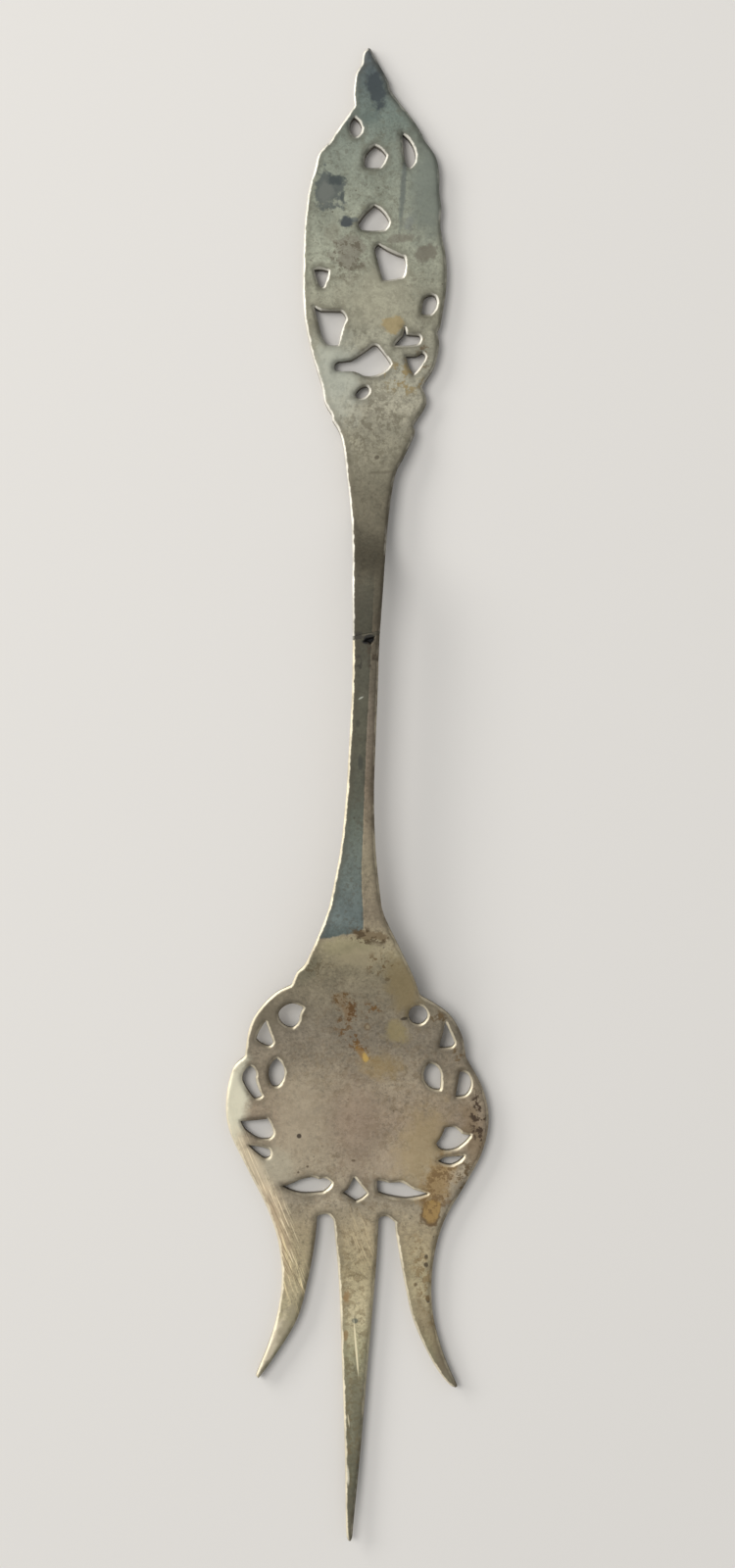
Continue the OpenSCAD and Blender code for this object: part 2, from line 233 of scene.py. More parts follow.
print(len(BLADE_OPENINGS), "openings in the handle")

# %% Openings of the head
HEAD_OPENINGS = [
    [
        [-8.1, 52.9, 0.25], [-6.7, 53.95, 0.1], [-5.6, 53.5, -0.1], [-6, 52.3, 0.1],
        [-6.6, 51.5, 0.1], [-7.6, 51.8, 0.15],
    ],
    [[-9.35, 52.1, 0], [-8.6, 50, 0.15], [-9.1, 49.55, 0.1], [-10.3, 50.2, 0.1]],
    [[-8.2, 48.3, 0.7], [-8, 45.5, 0.05], [-8.6, 45.5, 0.6]],
    [
        [-10.9, 47.5, 0.3], [-10.3, 46.3, -0.1], [-9.6, 44.5, 0.1], [-10.4, 44.2, 0.1],
        [-11.6, 46, 0.25],
    ],
    [
        [-11.7, 41.9, -0.05], [-9, 42.2, 0.1], [-8.4, 40.8, 0.1], [-8.8, 40.2, 0.05],
        [-9.9, 40.2, 0.05], [-11.2, 41, 0.05],
    ],
    [[-10.9, 39.5, 0.05], [-8.8, 39.15, 0.1], [-8.7, 38.4, 0.15], [-9.5, 38.35, 0.05]],
    [[4.9, 53.05, 0.95], [6.8, 53.05, 0.95]],
    [[8.6, 52.4, 0], [9.6, 50.3, 0.15], [9.1, 49.8, 0.05], [8.1, 49.75, 0.05], [8.3, 50.8, 0]],
    [[7.05, 48.05, 0.05], [7.7, 47.95, 0.2], [8.3, 46.6, 0.03], [8.25, 45.5, 0.1], [7.2, 45.7, 0.55]],
    [[10.2, 47.3, 0.1], [11, 47.1, 0.45], [10.8, 44.95, 0.05], [9.8, 44.8, 0]],
    [
        [8.8, 41.6, 0.1], [9.9, 41.7, 0], [10.5, 41.1, -0.05], [11.45, 41, 0.1],
        [10.2, 39.7, 0.1], [8.8, 39.4, 0.2], [8, 40.1, -0.1],
    ],
    [[8.2, 38.3, 0.1], [9.3, 38.75, 0], [10.85, 38.9, 0.15], [9.5, 37.95, 0.1]],
    [
        [-7.4, 35.45, -0.05], [-6.2, 35.85, 0.1], [-4.5, 36.4, 0.05], [-3.7, 36.2, 0],
        [-3.3, 36.35, 0.1], [-2.4, 35.9, 0.1], [-3.3, 34.95, 0.05], [-5.5, 34.8, 0.1],
    ],
    [[-1.3, 34.9, 0], [-0.8, 35.3, 0], [-0.2, 36.5, 0], [1.15, 34.9, 0.1], [0, 34.1, 0]],
    [
        [2.15, 36.2, 0.05], [3.3, 36, 0], [4.5, 36.1, 0.05], [5.8, 35.4, 0], [7.3, 35, 0.1],
        [5, 34.5, 0.1], [2.3, 35, 0.1],
    ],
]
print(len(HEAD_OPENINGS), "openings in the head")

# %% Corners to loops
HOLE_STEP = 0.12


def way_round(loop):
    """+1 for a loop that runs counter-clockwise and -1 for a clockwise one: the
    sign of the sum of x(i) y(i+1) - x(i+1) y(i)."""
    x, y = np.asarray(loop)[:, :2].T
    return np.sign(np.sum(x * np.roll(y, -1) - np.roll(x, -1) * y))


def side_arc(a, b, swell):
    """Arc from a to b that swells to the right of the way. Half its angle is
    2 atan(2 swell / chord), and its radius is chord / 2 sin(half angle)."""
    a, b = np.asarray(a), np.asarray(b)
    chord = np.hypot(*(b - a))
    count = max(2, int(round(chord / HOLE_STEP)))
    t = np.linspace(0, 1, count, endpoint=False)[:, None]
    if abs(swell) < 1e-6:
        return a + (b - a) * t
    half = 2 * math.atan(2 * swell / chord)
    along = (b - a) / chord
    right = np.array([along[1], -along[0]])
    turn = half * (2 * t - 1)
    radius = chord / 2 / math.sin(half)
    return (a + b) / 2 + radius * (np.sin(turn) * along + (np.cos(turn) - math.cos(half)) * right)


def opening(corners, place):
    """Closed clockwise loop of an opening, so that the metal is on its left.
    place turns the listed distances into Y before the arcs are drawn."""
    xy = np.array(place([c[:2] for c in corners]))
    way = way_round(xy) or 1.0
    following = np.roll(xy, -1, axis=0)
    loop = np.vstack([side_arc(p, q, way * c[2]) for p, q, c in zip(xy, following, corners)])
    return loop[::-1] if way_round(loop) > 0 else loop


blade_holes = [opening(c, from_tip) for c in BLADE_OPENINGS]
head_holes = [opening(c, from_tine) for c in HEAD_OPENINGS]
print("hole points:", sum(map(len, blade_holes)), sum(map(len, head_holes)))

# %% [markdown]
# ## Side view
# Seen from the side, the fork is a ribbon. Its head and its blade lie on the
# table, the neck rises to a crest, and the stem comes down gently from there.
# Each row gives a place, the height of the underside and the thickness. A
# spline through the rows is read off wherever a height is needed.

# %% Underside and thickness along the fork
HALF_WAY = (PLATE + STEM) / 2
TINE_LEN, HEAD_LEN, BLADE_LEN = 32.7, 30.3, 51.0


def along_tine(part):
    """Y at a part of the middle tine's length, from its tip."""
    return part * TINE_LEN - HALF_LENGTH


def along_head(part):
    """Y at a part of the head's length, from the slots."""
    return TINE_LEN + part * HEAD_LEN - HALF_LENGTH


def along_stem(part):
    """Y at a part of the stem's length, from the neck."""
    return STEM_END + part * (STEM_TOP - STEM_END)


def along_blade(part):
    """Y at a part of the blade's length, from the handle's tip."""
    return HALF_LENGTH - part * BLADE_LEN


side_view = spline([
    [along_tine(0), TINE_RISE, TIP],
    [along_tine(0.28), TINE_RISE * 0.45, TIP + (PLATE - TIP) * 0.45],
    [along_tine(0.52), TINE_RISE * 0.15, TIP + (PLATE - TIP) * 0.75],
    [along_tine(0.8), 0, PLATE],
    [along_head(0.37), 0, PLATE],
    [along_head(0.54), ARCH * 0.12, PLATE],
    [along_head(0.7), ARCH * 0.5, (PLATE + HALF_WAY) / 2],
    [along_head(0.85), ARCH * 0.89, HALF_WAY],
    [along_head(0.94), ARCH, STEM],
    [along_stem(0.97), ARCH * 0.98, STEM],
    [along_stem(0.6), ARCH * 0.8, STEM],
    [along_stem(0.2), ARCH * 0.5, STEM],
    [along_blade(0.84), ARCH * 0.18, HALF_WAY],
    [along_blade(0.7), 0, PLATE],
    [along_blade(0.16), 0, PLATE],
    [along_blade(0), 0, PLATE * 0.7],
])
side_view[:, 1] = np.maximum(side_view[:, 1], 0)
ROW_STEP = 0.1
ROWS = np.arange(-HALF_LENGTH, HALF_LENGTH + ROW_STEP, ROW_STEP)
HAMMERED = np.hanning(71) / np.hanning(71).sum()


def settled(values):
    """Heights along the fork, each averaged with those within 3.5 mm of it, as a
    hammered sheet has no sharp bend."""
    even = np.interp(ROWS, side_view[:, 0], values)
    margin = len(HAMMERED) // 2
    return np.convolve(np.pad(even, margin, "edge"), HAMMERED, "valid")


LIFTS, THICKNESSES = settled(side_view[:, 1]), settled(side_view[:, 2])


def under(y):
    """Height of the flat underside at y."""
    return np.interp(y, ROWS, LIFTS)


def face(y):
    """Height of the flat face at y: the underside and the thickness."""
    return under(y) + np.interp(y, ROWS, THICKNESSES)


print("crest of the face", round(float(side_view[:, 1:].sum(1).max()), 2), "mm")

# %% [markdown]
# ## Wear and hand work in the surface
# No edge of the real fork is sharp. Handling has worn each into a slope about a
# quarter of a millimetre wide, and that slope is what catches the light. The
# stem below the joint was filed to a low ridge, and the whole sheet waves a
# little from the hammer. All three are heights taken off the flat face.

# %% Worn edges, ridge and waves
RIDGE_Y = [-16.0, -12.5, -8.0, -2.5, 4.0, 11.0, 16.0, 24.0]
RIDGE_X = [0.3, 0.2, -0.1, 0.0, 0.1, 0.3, 0.45, 0.7]


def smooth_step(low, high, value):
    """0 below low, 1 above high, and 3t^2 - 2t^3 between them."""
    t = np.clip((value - low) / (high - low), 0, 1)
    return t * t * (3 - 2 * t)


def worn_edge(x, y, edge, width, fall):
    """Height lost near an edge. With t going from 0 at the inner end of the
    slope to 1 at the edge, it is fall t^1.35. The width varies by a quarter
    along the edge, as the product of two slow sines."""
    patchy = 1 + 0.25 * np.sin(0.9 * x + 1.3 * y) * np.sin(0.7 * x - 0.5 * y + 1)
    t = np.clip(1 - edge / (width * patchy), 0, 1)
    return fall * t ** 1.35


def ridge(x, y):
    """Height lost on both sides of the stem's ridge: a slope of 0.09 on the
    distance from the ridge line, rounded over the ridge itself, and faded out
    above the joint and over the crest of the neck."""
    away = x - np.interp(y, RIDGE_Y, RIDGE_X)
    amount = smooth_step(-14.2, -12.9, y + 0.15 * x) * smooth_step(24, 12, y)
    return 0.09 * amount * (np.sqrt(away ** 2 + 0.15 ** 2) - 0.15)


def waves(x, y):
    """Hammer waves: a product of two sines that takes 0 to 0.05 mm away."""
    return 0.025 * (1 + np.sin(0.75 * x + 0.3 * y + 0.7) * np.sin(0.55 * y - 0.35 * x))


def upper(x, y, edge):
    """Top of the fork, with wear, ridge and waves taken off the flat face."""
    thin = np.interp(y, [-75, -60, -45], [0.5, 0.8, 1])
    return face(y) - worn_edge(x, y, edge, 0.3, 0.19 * thin) - ridge(x, y) - waves(x, y) * thin


def lower(x, y, edge):
    """Bottom of the fork, with a narrower slope along its edges."""
    return under(y) + worn_edge(y, x, edge, 0.18, 0.1)


print("a point 0.1 mm inside an edge lies", round(float(worn_edge(0, 0, 0.1, 0.3, 0.19)), 3), "mm lower")

# %% [markdown]
# ## From the plan to a solid sheet
# The plan has to become a mesh with fine triangles near its edges, where the
# surface bends, and larger ones in the middle. Points are laid in rings along
# every edge and in a staggered grid between them. Blender's Delaunay routine
# joins them into triangles. The same triangles serve for the face and the
# underside, and a wall of four rows closes the piece.

# %% Distance to the edges
def measure(points, loops):
    """Distance from points to the nearest edge, negative outside the metal. On
    each straight bit from a to b the foot point is a + t (b - a), with t held
    between 0 and 1. A point is inside if a line from it along +X crosses the
    loops an odd number of times."""
    a = np.vstack(loops)
    d = np.vstack([np.roll(loop, -1, axis=0) for loop in loops]) - a
    long2 = np.maximum((d ** 2).sum(1), 1e-12)
    lean = d[:, 0] / np.where(d[:, 1] == 0, 1e-12, d[:, 1])
    found = []
    for part in np.array_split(points, max(1, len(points) // 400)):
        vx, vy = part[:, :1] - a[:, 0], part[:, 1:] - a[:, 1]
        t = np.clip((vx * d[:, 0] + vy * d[:, 1]) / long2, 0, 1)
        gap = np.sqrt(((vx - t * d[:, 0]) ** 2 + (vy - t * d[:, 1]) ** 2).min(1))
        crossed = ((vy < 0) != (vy < d[:, 1])) & (vx < vy * lean)
        found.append(np.where(crossed.sum(1) % 2 == 1, gap, -gap))
    return np.concatenate(found)


square = [np.array([[0.0, 0], [4, 0], [4, 4], [0, 4]])]
print("middle and outside of a 4 mm square:", measure(np.array([[2.0, 2], [5, 2]]), square))

# %% Points between the edges
RINGS = [0.05, 0.11, 0.18, 0.26, 0.36, 0.56]
GRID = 0.46


def inward(loop, distance):
    """Loop moved into the metal on its left, square to the line between each
    point's neighbours."""
    along = np.roll(loop, -1, axis=0) - np.roll(loop, 1, axis=0)
    left = np.column_stack([-along[:, 1], along[:, 0]])
    return loop + distance * left / np.maximum(np.hypot(*left.T), 1e-9)[:, None]


def staggered(low, high, step):
    """Grid of points whose every second row is shifted by half a step."""
    x, y = np.meshgrid(np.arange(low[0], high[0], step), np.arange(low[1], high[1], step * 0.87))
    x[1::2] += step / 2
    return np.column_stack([x.ravel(), y.ravel()])


def filling(loops, extra):
    """Points inside the loops: the rings, the grid between them and any extra
    ones, each kept only where it is far enough from every edge."""
    rings = [(inward(loop, r)[::1 + (r > 0.3)], 0.9 * r) for r in RINGS for loop in loops]
    low, high = loops[0].min(0), loops[0].max(0)
    sets = rings + [(staggered(low, high, GRID), 0.7)] + [(e, 0.04) for e in extra]
    points = np.vstack([s for s, _ in sets])
    least = np.concatenate([np.full(len(s), gap) for s, gap in sets])
    return points[measure(points, loops) > least]


print("rings at", RINGS, "mm from each edge, grid of", GRID, "mm")

# %% Sheet from its two surfaces
WALL_ROWS = [0.14, 0.86]


def plan_triangles(loops, extra):
    """Triangles over the metal between the loops, all facing up. A triangle
    whose three corners are all on edges may lie outside, so its middle is
    tested."""
    rim = np.vstack(loops)
    starts = np.cumsum([0] + [len(loop) for loop in loops])
    follow = np.concatenate([np.roll(np.arange(s, e), -1) for s, e in zip(starts, starts[1:])])
    plan = np.vstack([rim, filling(loops, extra)])
    bars = np.column_stack([np.arange(len(rim)), follow])
    xy, _, tris, *_ = delaunay_2d_cdt(plan.tolist(), bars.tolist(), [], 1, 1e-7)
    xy, tris = np.array(xy), np.array(tris)
    doubtful = (tris < len(rim)).all(1)
    keep = ~doubtful
    keep[doubtful] = measure(xy[tris[doubtful]].mean(1), loops) > 0
    used, tris = np.unique(tris[keep], return_inverse=True)
    xy, tris = xy[used], tris.reshape(-1, 3)
    (px, py), (qx, qy), (rx, ry) = (xy[tris[:, k]].T for k in range(3))
    down = (qx - px) * (ry - py) < (rx - px) * (qy - py)
    tris[down] = tris[down, ::-1]
    return xy, tris


def sheet(name, loops, edges, top, bottom, extra=(), marks=None):
    """Closed mesh between two surfaces over the plan inside the loops. top and
    bottom give heights from x, y and the distance to the fork's edges, which is
    kept as the attribute edge_mm. A side that only one triangle uses is on the
    rim, and three pairs of triangles close the wall below it."""
    xy, tris = plan_triangles(loops, extra)
    x, y = xy.T
    edge = np.maximum(measure(xy, edges), 0)
    high, low = top(x, y, edge), bottom(x, y, edge)
    n = len(xy)
    sides = np.vstack([tris[:, [0, 1]], tris[:, [1, 2]], tris[:, [2, 0]]])
    rim = sides[~np.isin(sides[:, 0] * n + sides[:, 1], sides[:, 1] * n + sides[:, 0])]
    around = np.unique(rim)
    place = np.zeros(n, int)
    place[around] = np.arange(len(around))
    levels = [np.column_stack([x, y, high]), np.column_stack([x, y, low])]
    rows = [rim]
    for k, part in enumerate(WALL_ROWS):
        z = high[around] * (1 - part) + low[around] * part
        levels.append(np.column_stack([xy[around], z]))
        rows.append(2 * n + k * len(around) + place[rim])
    rows.append(rim + n)
    faces = [tris, tris[:, ::-1] + n]
    for (a, b), (c, d) in zip([r.T for r in rows], [r.T for r in rows[1:]]):
        faces += [np.column_stack([c, d, b]), np.column_stack([c, b, a])]
    points, faces = np.vstack(levels) * MM, np.vstack(faces)
    mesh = bpy.data.meshes.new(name)
    mesh.from_pydata(points, [], faces)
    mesh.polygons.foreach_set("use_smooth", np.ones(len(faces), bool))
    values = {"edge_mm": edge, **(marks(x, y, edge) if marks else {})}
    for label, value in values.items():
        value = np.concatenate([value, value] + [value[around]] * len(WALL_ROWS))
        attribute = mesh.attributes.new(label, "FLOAT", "POINT")
        attribute.data.foreach_set("value", value.astype(np.float32))
    piece = bpy.data.objects.new(name, mesh)
    bpy.context.scene.collection.objects.link(piece)
    thick = np.round([(high - low).min(), (high - low).max()], 3).tolist()
    print(name, len(points), "points,", len(faces), "triangles, thickness", thick, "mm")
    return piece


# %% [markdown]
# ## The scarf joint
# The two blanks meet on a slanting plane, so that the solder holds them over
# several millimetres. On the face only a thin grey line shows, askew across the
# stem, with a pit in it that the solder never filled. The plane is a height over
# the plan as well: the handle keeps what is above it, the head what is below
# it, and the solder the film between.

# %% Scarf plane
joint_z = float(face(JOINT_Y))
FALL = (float(under(JOINT_Y + OVERLAP)) - joint_z) / OVERLAP
HALF_FILM = FILM / 2 * math.sqrt(1 + FALL ** 2)
SUNK = 0.02


def past_joint(x, y):
    """Distance up the stem from the joint line, which is turned by SKEW."""
    return (y - JOINT_Y) * math.cos(SKEW) - x * math.sin(SKEW)


def scarf(x, y):
    """Height of the scarf plane: it falls towards the handle."""
    return joint_z + FALL * past_joint(x, y)


def split(edge, at):
    """The part of an edge above the joint line moved up by at, and the part
    below it. The point on the line is worked out between its two neighbours."""
    s = past_joint(*edge.T) - at
    i = int(np.argmax(s < 0))
    on_line = edge[i - 1] + (edge[i] - edge[i - 1]) * s[i - 1] / (s[i - 1] - s[i])
    return np.vstack([edge[:i], on_line]), np.vstack([on_line, edge[i:]])


up_stem = np.linspace(JOINT_Y + 1, JOINT_Y - 1, 401)
above_plane = upper(0 * up_stem, up_stem, 1.2) - scarf(0, up_stem)
HANDLE_FROM, HEAD_TO = (
    float(past_joint(0, np.interp(-h, -above_plane, up_stem))) for h in (HALF_FILM, -HALF_FILM)
)
print("joint falls", round(FALL, 3), "per mm and shows", round(HANDLE_FROM - HEAD_TO, 2), "mm of solder")

# %% Plans of the three pieces
LAP_END = OVERLAP + 0.15


def between(high_cut, low_cut, bottom_line=None):
    """Outline of the metal between two cuts across the fork, or from a cut to
    the tines when bottom_line is given. It goes down the left edge and back up
    the right one."""
    left, right = left_edge, right_edge
    if low_cut is not None:
        left, right = split(left, low_cut)[0], split(right, low_cut)[0]
        bottom_line = spread([left[-1], right[-1]], 0.12)[1:-1]
    if high_cut is not None:
        left, right = split(left, high_cut)[1], split(right, high_cut)[1]
        top_line = spread([right[0], left[0]], 0.12)[1:-1]
    else:
        top_line = np.zeros((0, 2))
    return np.vstack([left, bottom_line, right[::-1], top_line])


def counter_clockwise(loop):
    """The loop turned round where it runs clockwise."""
    return loop if way_round(loop) > 0 else loop[::-1]


handle_plan = counter_clockwise(between(None, HANDLE_FROM))
head_plan = counter_clockwise(between(LAP_END, None, tine_edge))
film_plan = counter_clockwise(between(LAP_END, HEAD_TO - 0.05))
whole_plan = counter_clockwise(between(None, None, tine_edge))
fork_edges = [whole_plan, *blade_holes, *head_holes]
print("plans have", len(handle_plan), len(head_plan), len(film_plan), "points")

# %% [markdown]
# ## The pit and the three pieces
# The pit is a shallow hollow with steep sides, taken off the head beside the
# joint line. Fine points round it and along the ridge keep both crisp. Each
# piece then follows from its plan and its two surfaces. The solder lies a
# hair below the face, as it does once the joint has been filed.

# %% Pit, ridge points and painted facet reflection
PIT = 1.2 * np.array([
    [-0.55, -0.45], [-0.25, -0.15], [0.45, 0.1], [0.35, -0.3], [0.1, -0.7], [-0.1, -0.5],
]) + [0.24, JOINT_Y]
PIT_DEPTH = 0.5
joint_points = staggered([-1.7, JOINT_Y - 1.4], [1.7, JOINT_Y + 0.8], 0.085)
ridge_y = np.arange(-15.4, 24, 0.25)
ridge_x = np.interp(ridge_y, RIDGE_Y, RIDGE_X)
ridge_points = np.vstack([np.column_stack([ridge_x + s, ridge_y]) for s in (-0.2, -0.1, 0, 0.1, 0.2)])


def pit(x, y):
    """Depth of the pit: none outside its outline, all of it 0.15 mm inside."""
    return PIT_DEPTH * smooth_step(-0.02, 0.15, measure(np.column_stack([x, y]), [PIT]))


def stem_reflection_marks(x, y, edge):
    """Where the left facet of the stem is, from 0 to 1, for the painted reflection laid on it in a cooler
    colour.
    """
    away = x - np.interp(y, RIDGE_Y, RIDGE_X)
    end = smooth_step(-0.6, 0.5, y + 13.55 - 0.2 * x)
    return {"left_facet": smooth_step(0.12, -0.12, away) * end * smooth_step(25, 18, y)}


# %% Handle, head and solder
def handle_bottom(x, y, edge):
    """The underside or the scarf plane, whichever is higher."""
    return np.minimum(np.maximum(lower(x, y, edge), scarf(x, y) + HALF_FILM), upper(x, y, edge) - 0.01)


def head_top(x, y, edge):
    """The face with the pit, or the scarf plane where that is lower."""
    hidden = (past_joint(x, y) > HEAD_TO) * 2.2 * SUNK
    return np.minimum(upper(x, y, edge) - pit(x, y) - hidden, scarf(x, y) - HALF_FILM)


def film_top(x, y, edge):
    """The face less a hair, or the upper side of the film where that is lower."""
    return np.minimum(upper(x, y, edge) - SUNK, scarf(x, y) + HALF_FILM)


def film_bottom(x, y, edge):
    """The lower side of the film, kept above the underside of the stem."""
    floor = np.maximum(lower(x, y, edge), scarf(x, y) - HALF_FILM)
    return np.minimum(floor, film_top(x, y, edge) - 0.005)


def head_bottom(x, y, edge):
    """The underside, kept below the top where the scarf runs out."""
    return np.minimum(lower(x, y, edge), head_top(x, y, edge) - 0.005)


handle = sheet("handle_blade", [handle_plan, *blade_holes], fork_edges, upper, handle_bottom,
               [joint_points, ridge_points], stem_reflection_marks)
head = sheet("head_and_tines", [head_plan, *head_holes], fork_edges, head_top, head_bottom,
             [joint_points, ridge_points], stem_reflection_marks)
solder = sheet("solder_film", [film_plan], fork_edges, film_top, film_bottom, [joint_points])
for piece, node in ((handle, "handle"), (head, "head"), (solder, "solder")):
    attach(piece, "root")
    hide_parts(node)

# %% [markdown]
# ## Materials: places and colours
# Every stain on the fork has its own place, so the materials work in the same
# millimetres as the shape. One node group turns Object coordinates into them
# and tells the face from the underside. Colours are written as they look on
# screen, and turned into the linear values that Blender works with.

# %% Node helpers
def ink(red, green, blue):
    """Linear colour of a screen colour given from 0 to 255: ((c + 0.055) /
    1.055)^2.4, or c / 12.92 for the darkest."""
    c = np.array([red, green, blue]) / 255
    linear = np.where(c > 0.04045, ((c + 0.055) / 1.055) ** 2.4, c / 12.92)
    return (*linear.tolist(), 1.0)


def put(tree, kind, inputs, **settings):
    """A new node with its settings. An input is linked if it is given a socket,
    and set if it is given a value."""
    made = tree.nodes.new("ShaderNode" + kind)
    for label, value in settings.items():
        setattr(made, label, value)
    for label, value in inputs.items():
        if isinstance(value, bpy.types.NodeSocket):
            tree.links.new(value, made.inputs[label])
        else:
            made.inputs[label].default_value = value
    return made


def maths(tree, operation, a, b=0.0, clamp=False):
    """Output of a Math node."""
    return put(tree, "Math", {0: a, 1: b}, operation=operation, use_clamp=clamp).outputs[0]


def ramped(tree, value, low, high, kind="SMOOTHSTEP"):
    """0 where value is at low and 1 where it is at high."""
    ends = {"Value": value, "From Min": low, "From Max": high}
    return put(tree, "MapRange", ends, interpolation_type=kind).outputs[0]


def group(name, sockets, results):
    """A new node group, with the outputs of its input node and its output node.
    sockets holds (name, kind, value) and results holds (name, kind)."""
    tree = bpy.data.node_groups.new(name, "ShaderNodeTree")
    for label, kind, value in sockets:
        socket = tree.interface.new_socket(label, in_out="INPUT", socket_type="NodeSocket" + kind)
        socket.default_value = value
    for label, kind in results:
        tree.interface.new_socket(label, in_out="OUTPUT", socket_type="NodeSocket" + kind)
    return tree, tree.nodes.new("NodeGroupInput").outputs, tree.nodes.new("NodeGroupOutput").inputs


def use(tree, shared, **inputs):
    """Outputs of a node group placed in a material. An underscore in a name
    stands for a space."""
    made = tree.nodes.new("ShaderNodeGroup")
    made.node_tree = shared
    for label, value in inputs.items():
        target = made.inputs[label.replace("_", " ")]
        if isinstance(value, bpy.types.NodeSocket):
            tree.links.new(value, target)
        else:
            target.default_value = value
    return made.outputs


print("a mid grey of 128 is", round(ink(128, 128, 128)[0], 3), "in linear light")

# %% Group: place on the fork
place_group, _, result = group("place_on_fork", [], [
    ("Plan", "Vector"), ("Along", "Float"), ("Face", "Float"), ("Wobble", "Float"), ("Wall", "Float"),
    ("Left", "Float"),
])
tree = place_group
where = put(tree, "TexCoord", {}).outputs["Object"]
plan = put(tree, "VectorMath", {0: where, "Scale": 1000.0}, operation="SCALE").outputs[0]
along = put(tree, "SeparateXYZ", {0: plan}).outputs["Y"]
facing = put(tree, "SeparateXYZ", {0: put(tree, "NewGeometry", {}).outputs["Normal"]}).outputs
up = facing["Z"]
noise = put(tree, "TexNoise", {"Vector": plan, "Scale": 1.1, "Detail": 5.0, "Roughness": 0.62})
tree.links.new(plan, result["Plan"])
tree.links.new(ramped(tree, along, -75.0, 75.0, "LINEAR"), result["Along"])
tree.links.new(ramped(tree, up, 0.0, 0.35), result["Face"])
wobble = maths(tree, "MULTIPLY", maths(tree, "SUBTRACT", noise.outputs[0], 0.5), 1.9)
tree.links.new(wobble, result["Wobble"])
tree.links.new(ramped(tree, facing["X"], 0.12, -0.4), result["Left"])
flat = ramped(tree, maths(tree, "ABSOLUTE", up), 0.5, 0.15)
tree.links.new(flat, result["Wall"])
print(place_group.name, "gives", [s.name for s in place_group.interface.items_tree])

# %% [markdown]
# ## Materials: stains, flecks, scratches, pits and worn edges
# Tarnish is never even. A stain is an ellipse with a ragged rim. Flecks are the
# high spots of a noise, kept inside such an ellipse, and scratches are a noise
# drawn out along one direction. Pits are small dots at random places. Wear
# follows the distance to the edge, which each piece carries in its mesh, and the
# wobble of the stains breaks it up.

# %% Group: ragged stain
stain_group, given, result = group("ragged_stain", [
    ("Plan", "Vector", (0, 0, 0)), ("Middle", "Vector", (0, 0, 0)), ("Half size", "Vector", (1, 1, 1)),
    ("Turn", "Float", 0.0), ("Softness", "Float", 0.3), ("Ragged", "Float", 1.0), ("Wobble", "Float", 0.0),
], [("Mask", "Float")])
tree = stain_group
off = put(tree, "VectorMath", {0: given["Plan"], 1: given["Middle"]}, operation="SUBTRACT").outputs[0]
back = maths(tree, "MULTIPLY", given["Turn"], -1.0)
turned = put(tree, "VectorRotate", {"Vector": off, "Angle": back}, rotation_type="Z_AXIS").outputs[0]
shrunk = put(tree, "VectorMath", {0: turned, 1: given["Half size"]}, operation="DIVIDE").outputs[0]
away = put(tree, "VectorMath", {0: shrunk}, operation="LENGTH").outputs["Value"]
away = maths(tree, "ADD", away, maths(tree, "MULTIPLY", given["Wobble"], given["Ragged"]))
outer, inner = maths(tree, "ADD", given["Softness"], 1.0), maths(tree, "SUBTRACT", 1.0, given["Softness"])
tree.links.new(ramped(tree, away, outer, inner), result["Mask"])

# %% Group: flecks
fleck_group, given, result = group("flecks", [
    ("Plan", "Vector", (0, 0, 0)), ("Size", "Float", 0.5), ("Cover", "Float", 0.5),
], [("Mask", "Float")])
tree = fleck_group
per_mm = maths(tree, "DIVIDE", 1.0, given["Size"])
noise = put(tree, "TexNoise", {"Vector": given["Plan"], "Scale": per_mm, "Detail": 3.0, "Roughness": 0.7})
least = maths(tree, "SUBTRACT", 0.72, maths(tree, "MULTIPLY", given["Cover"], 0.45))
tree.links.new(ramped(tree, noise.outputs[0], least, maths(tree, "ADD", least, 0.09)), result["Mask"])

# %% Group: scratches
scratch_group, given, result = group("scratches", [
    ("Plan", "Vector", (0, 0, 0)), ("Turn", "Float", 0.0), ("Across", "Float", 4.0),
    ("Along", "Float", 0.15), ("Cover", "Float", 0.5),
], [("Mask", "Float")])
tree = scratch_group
back = maths(tree, "MULTIPLY", given["Turn"], -1.0)
turned = put(tree, "VectorRotate", {"Vector": given["Plan"], "Angle": back}, rotation_type="Z_AXIS")
stretch = put(tree, "CombineXYZ", {"X": given["Along"], "Y": given["Across"], "Z": 0.0}).outputs[0]
drawn = put(tree, "VectorMath", {0: turned.outputs[0], 1: stretch}, operation="MULTIPLY").outputs[0]
noise = put(tree, "TexNoise", {"Vector": drawn, "Scale": 1.0, "Detail": 3.0, "Roughness": 0.75})
least = maths(tree, "SUBTRACT", 0.75, maths(tree, "MULTIPLY", given["Cover"], 0.4))
tree.links.new(ramped(tree, noise.outputs[0], least, maths(tree, "ADD", least, 0.1)), result["Mask"])

# %% Group: pits
pit_group, given, result = group("pits", [
    ("Plan", "Vector", (0, 0, 0)), ("Spacing", "Float", 1.2),
    ("Radius", "Float", 0.1), ("Share", "Float", 0.4),
], [("Mask", "Float")])
tree = pit_group
per_mm = maths(tree, "DIVIDE", 1.0, given["Spacing"])
cells = put(tree, "TexVoronoi", {"Vector": given["Plan"], "Scale": per_mm})
red = put(tree, "SeparateColor", {0: cells.outputs["Color"]}).outputs["Red"]
chosen = maths(tree, "LESS_THAN", red, given["Share"])
radius = maths(tree, "MULTIPLY", given["Radius"], per_mm)
spot = ramped(tree, cells.outputs["Distance"], radius, maths(tree, "MULTIPLY", radius, 0.4))
tree.links.new(maths(tree, "MULTIPLY", chosen, spot), result["Mask"])

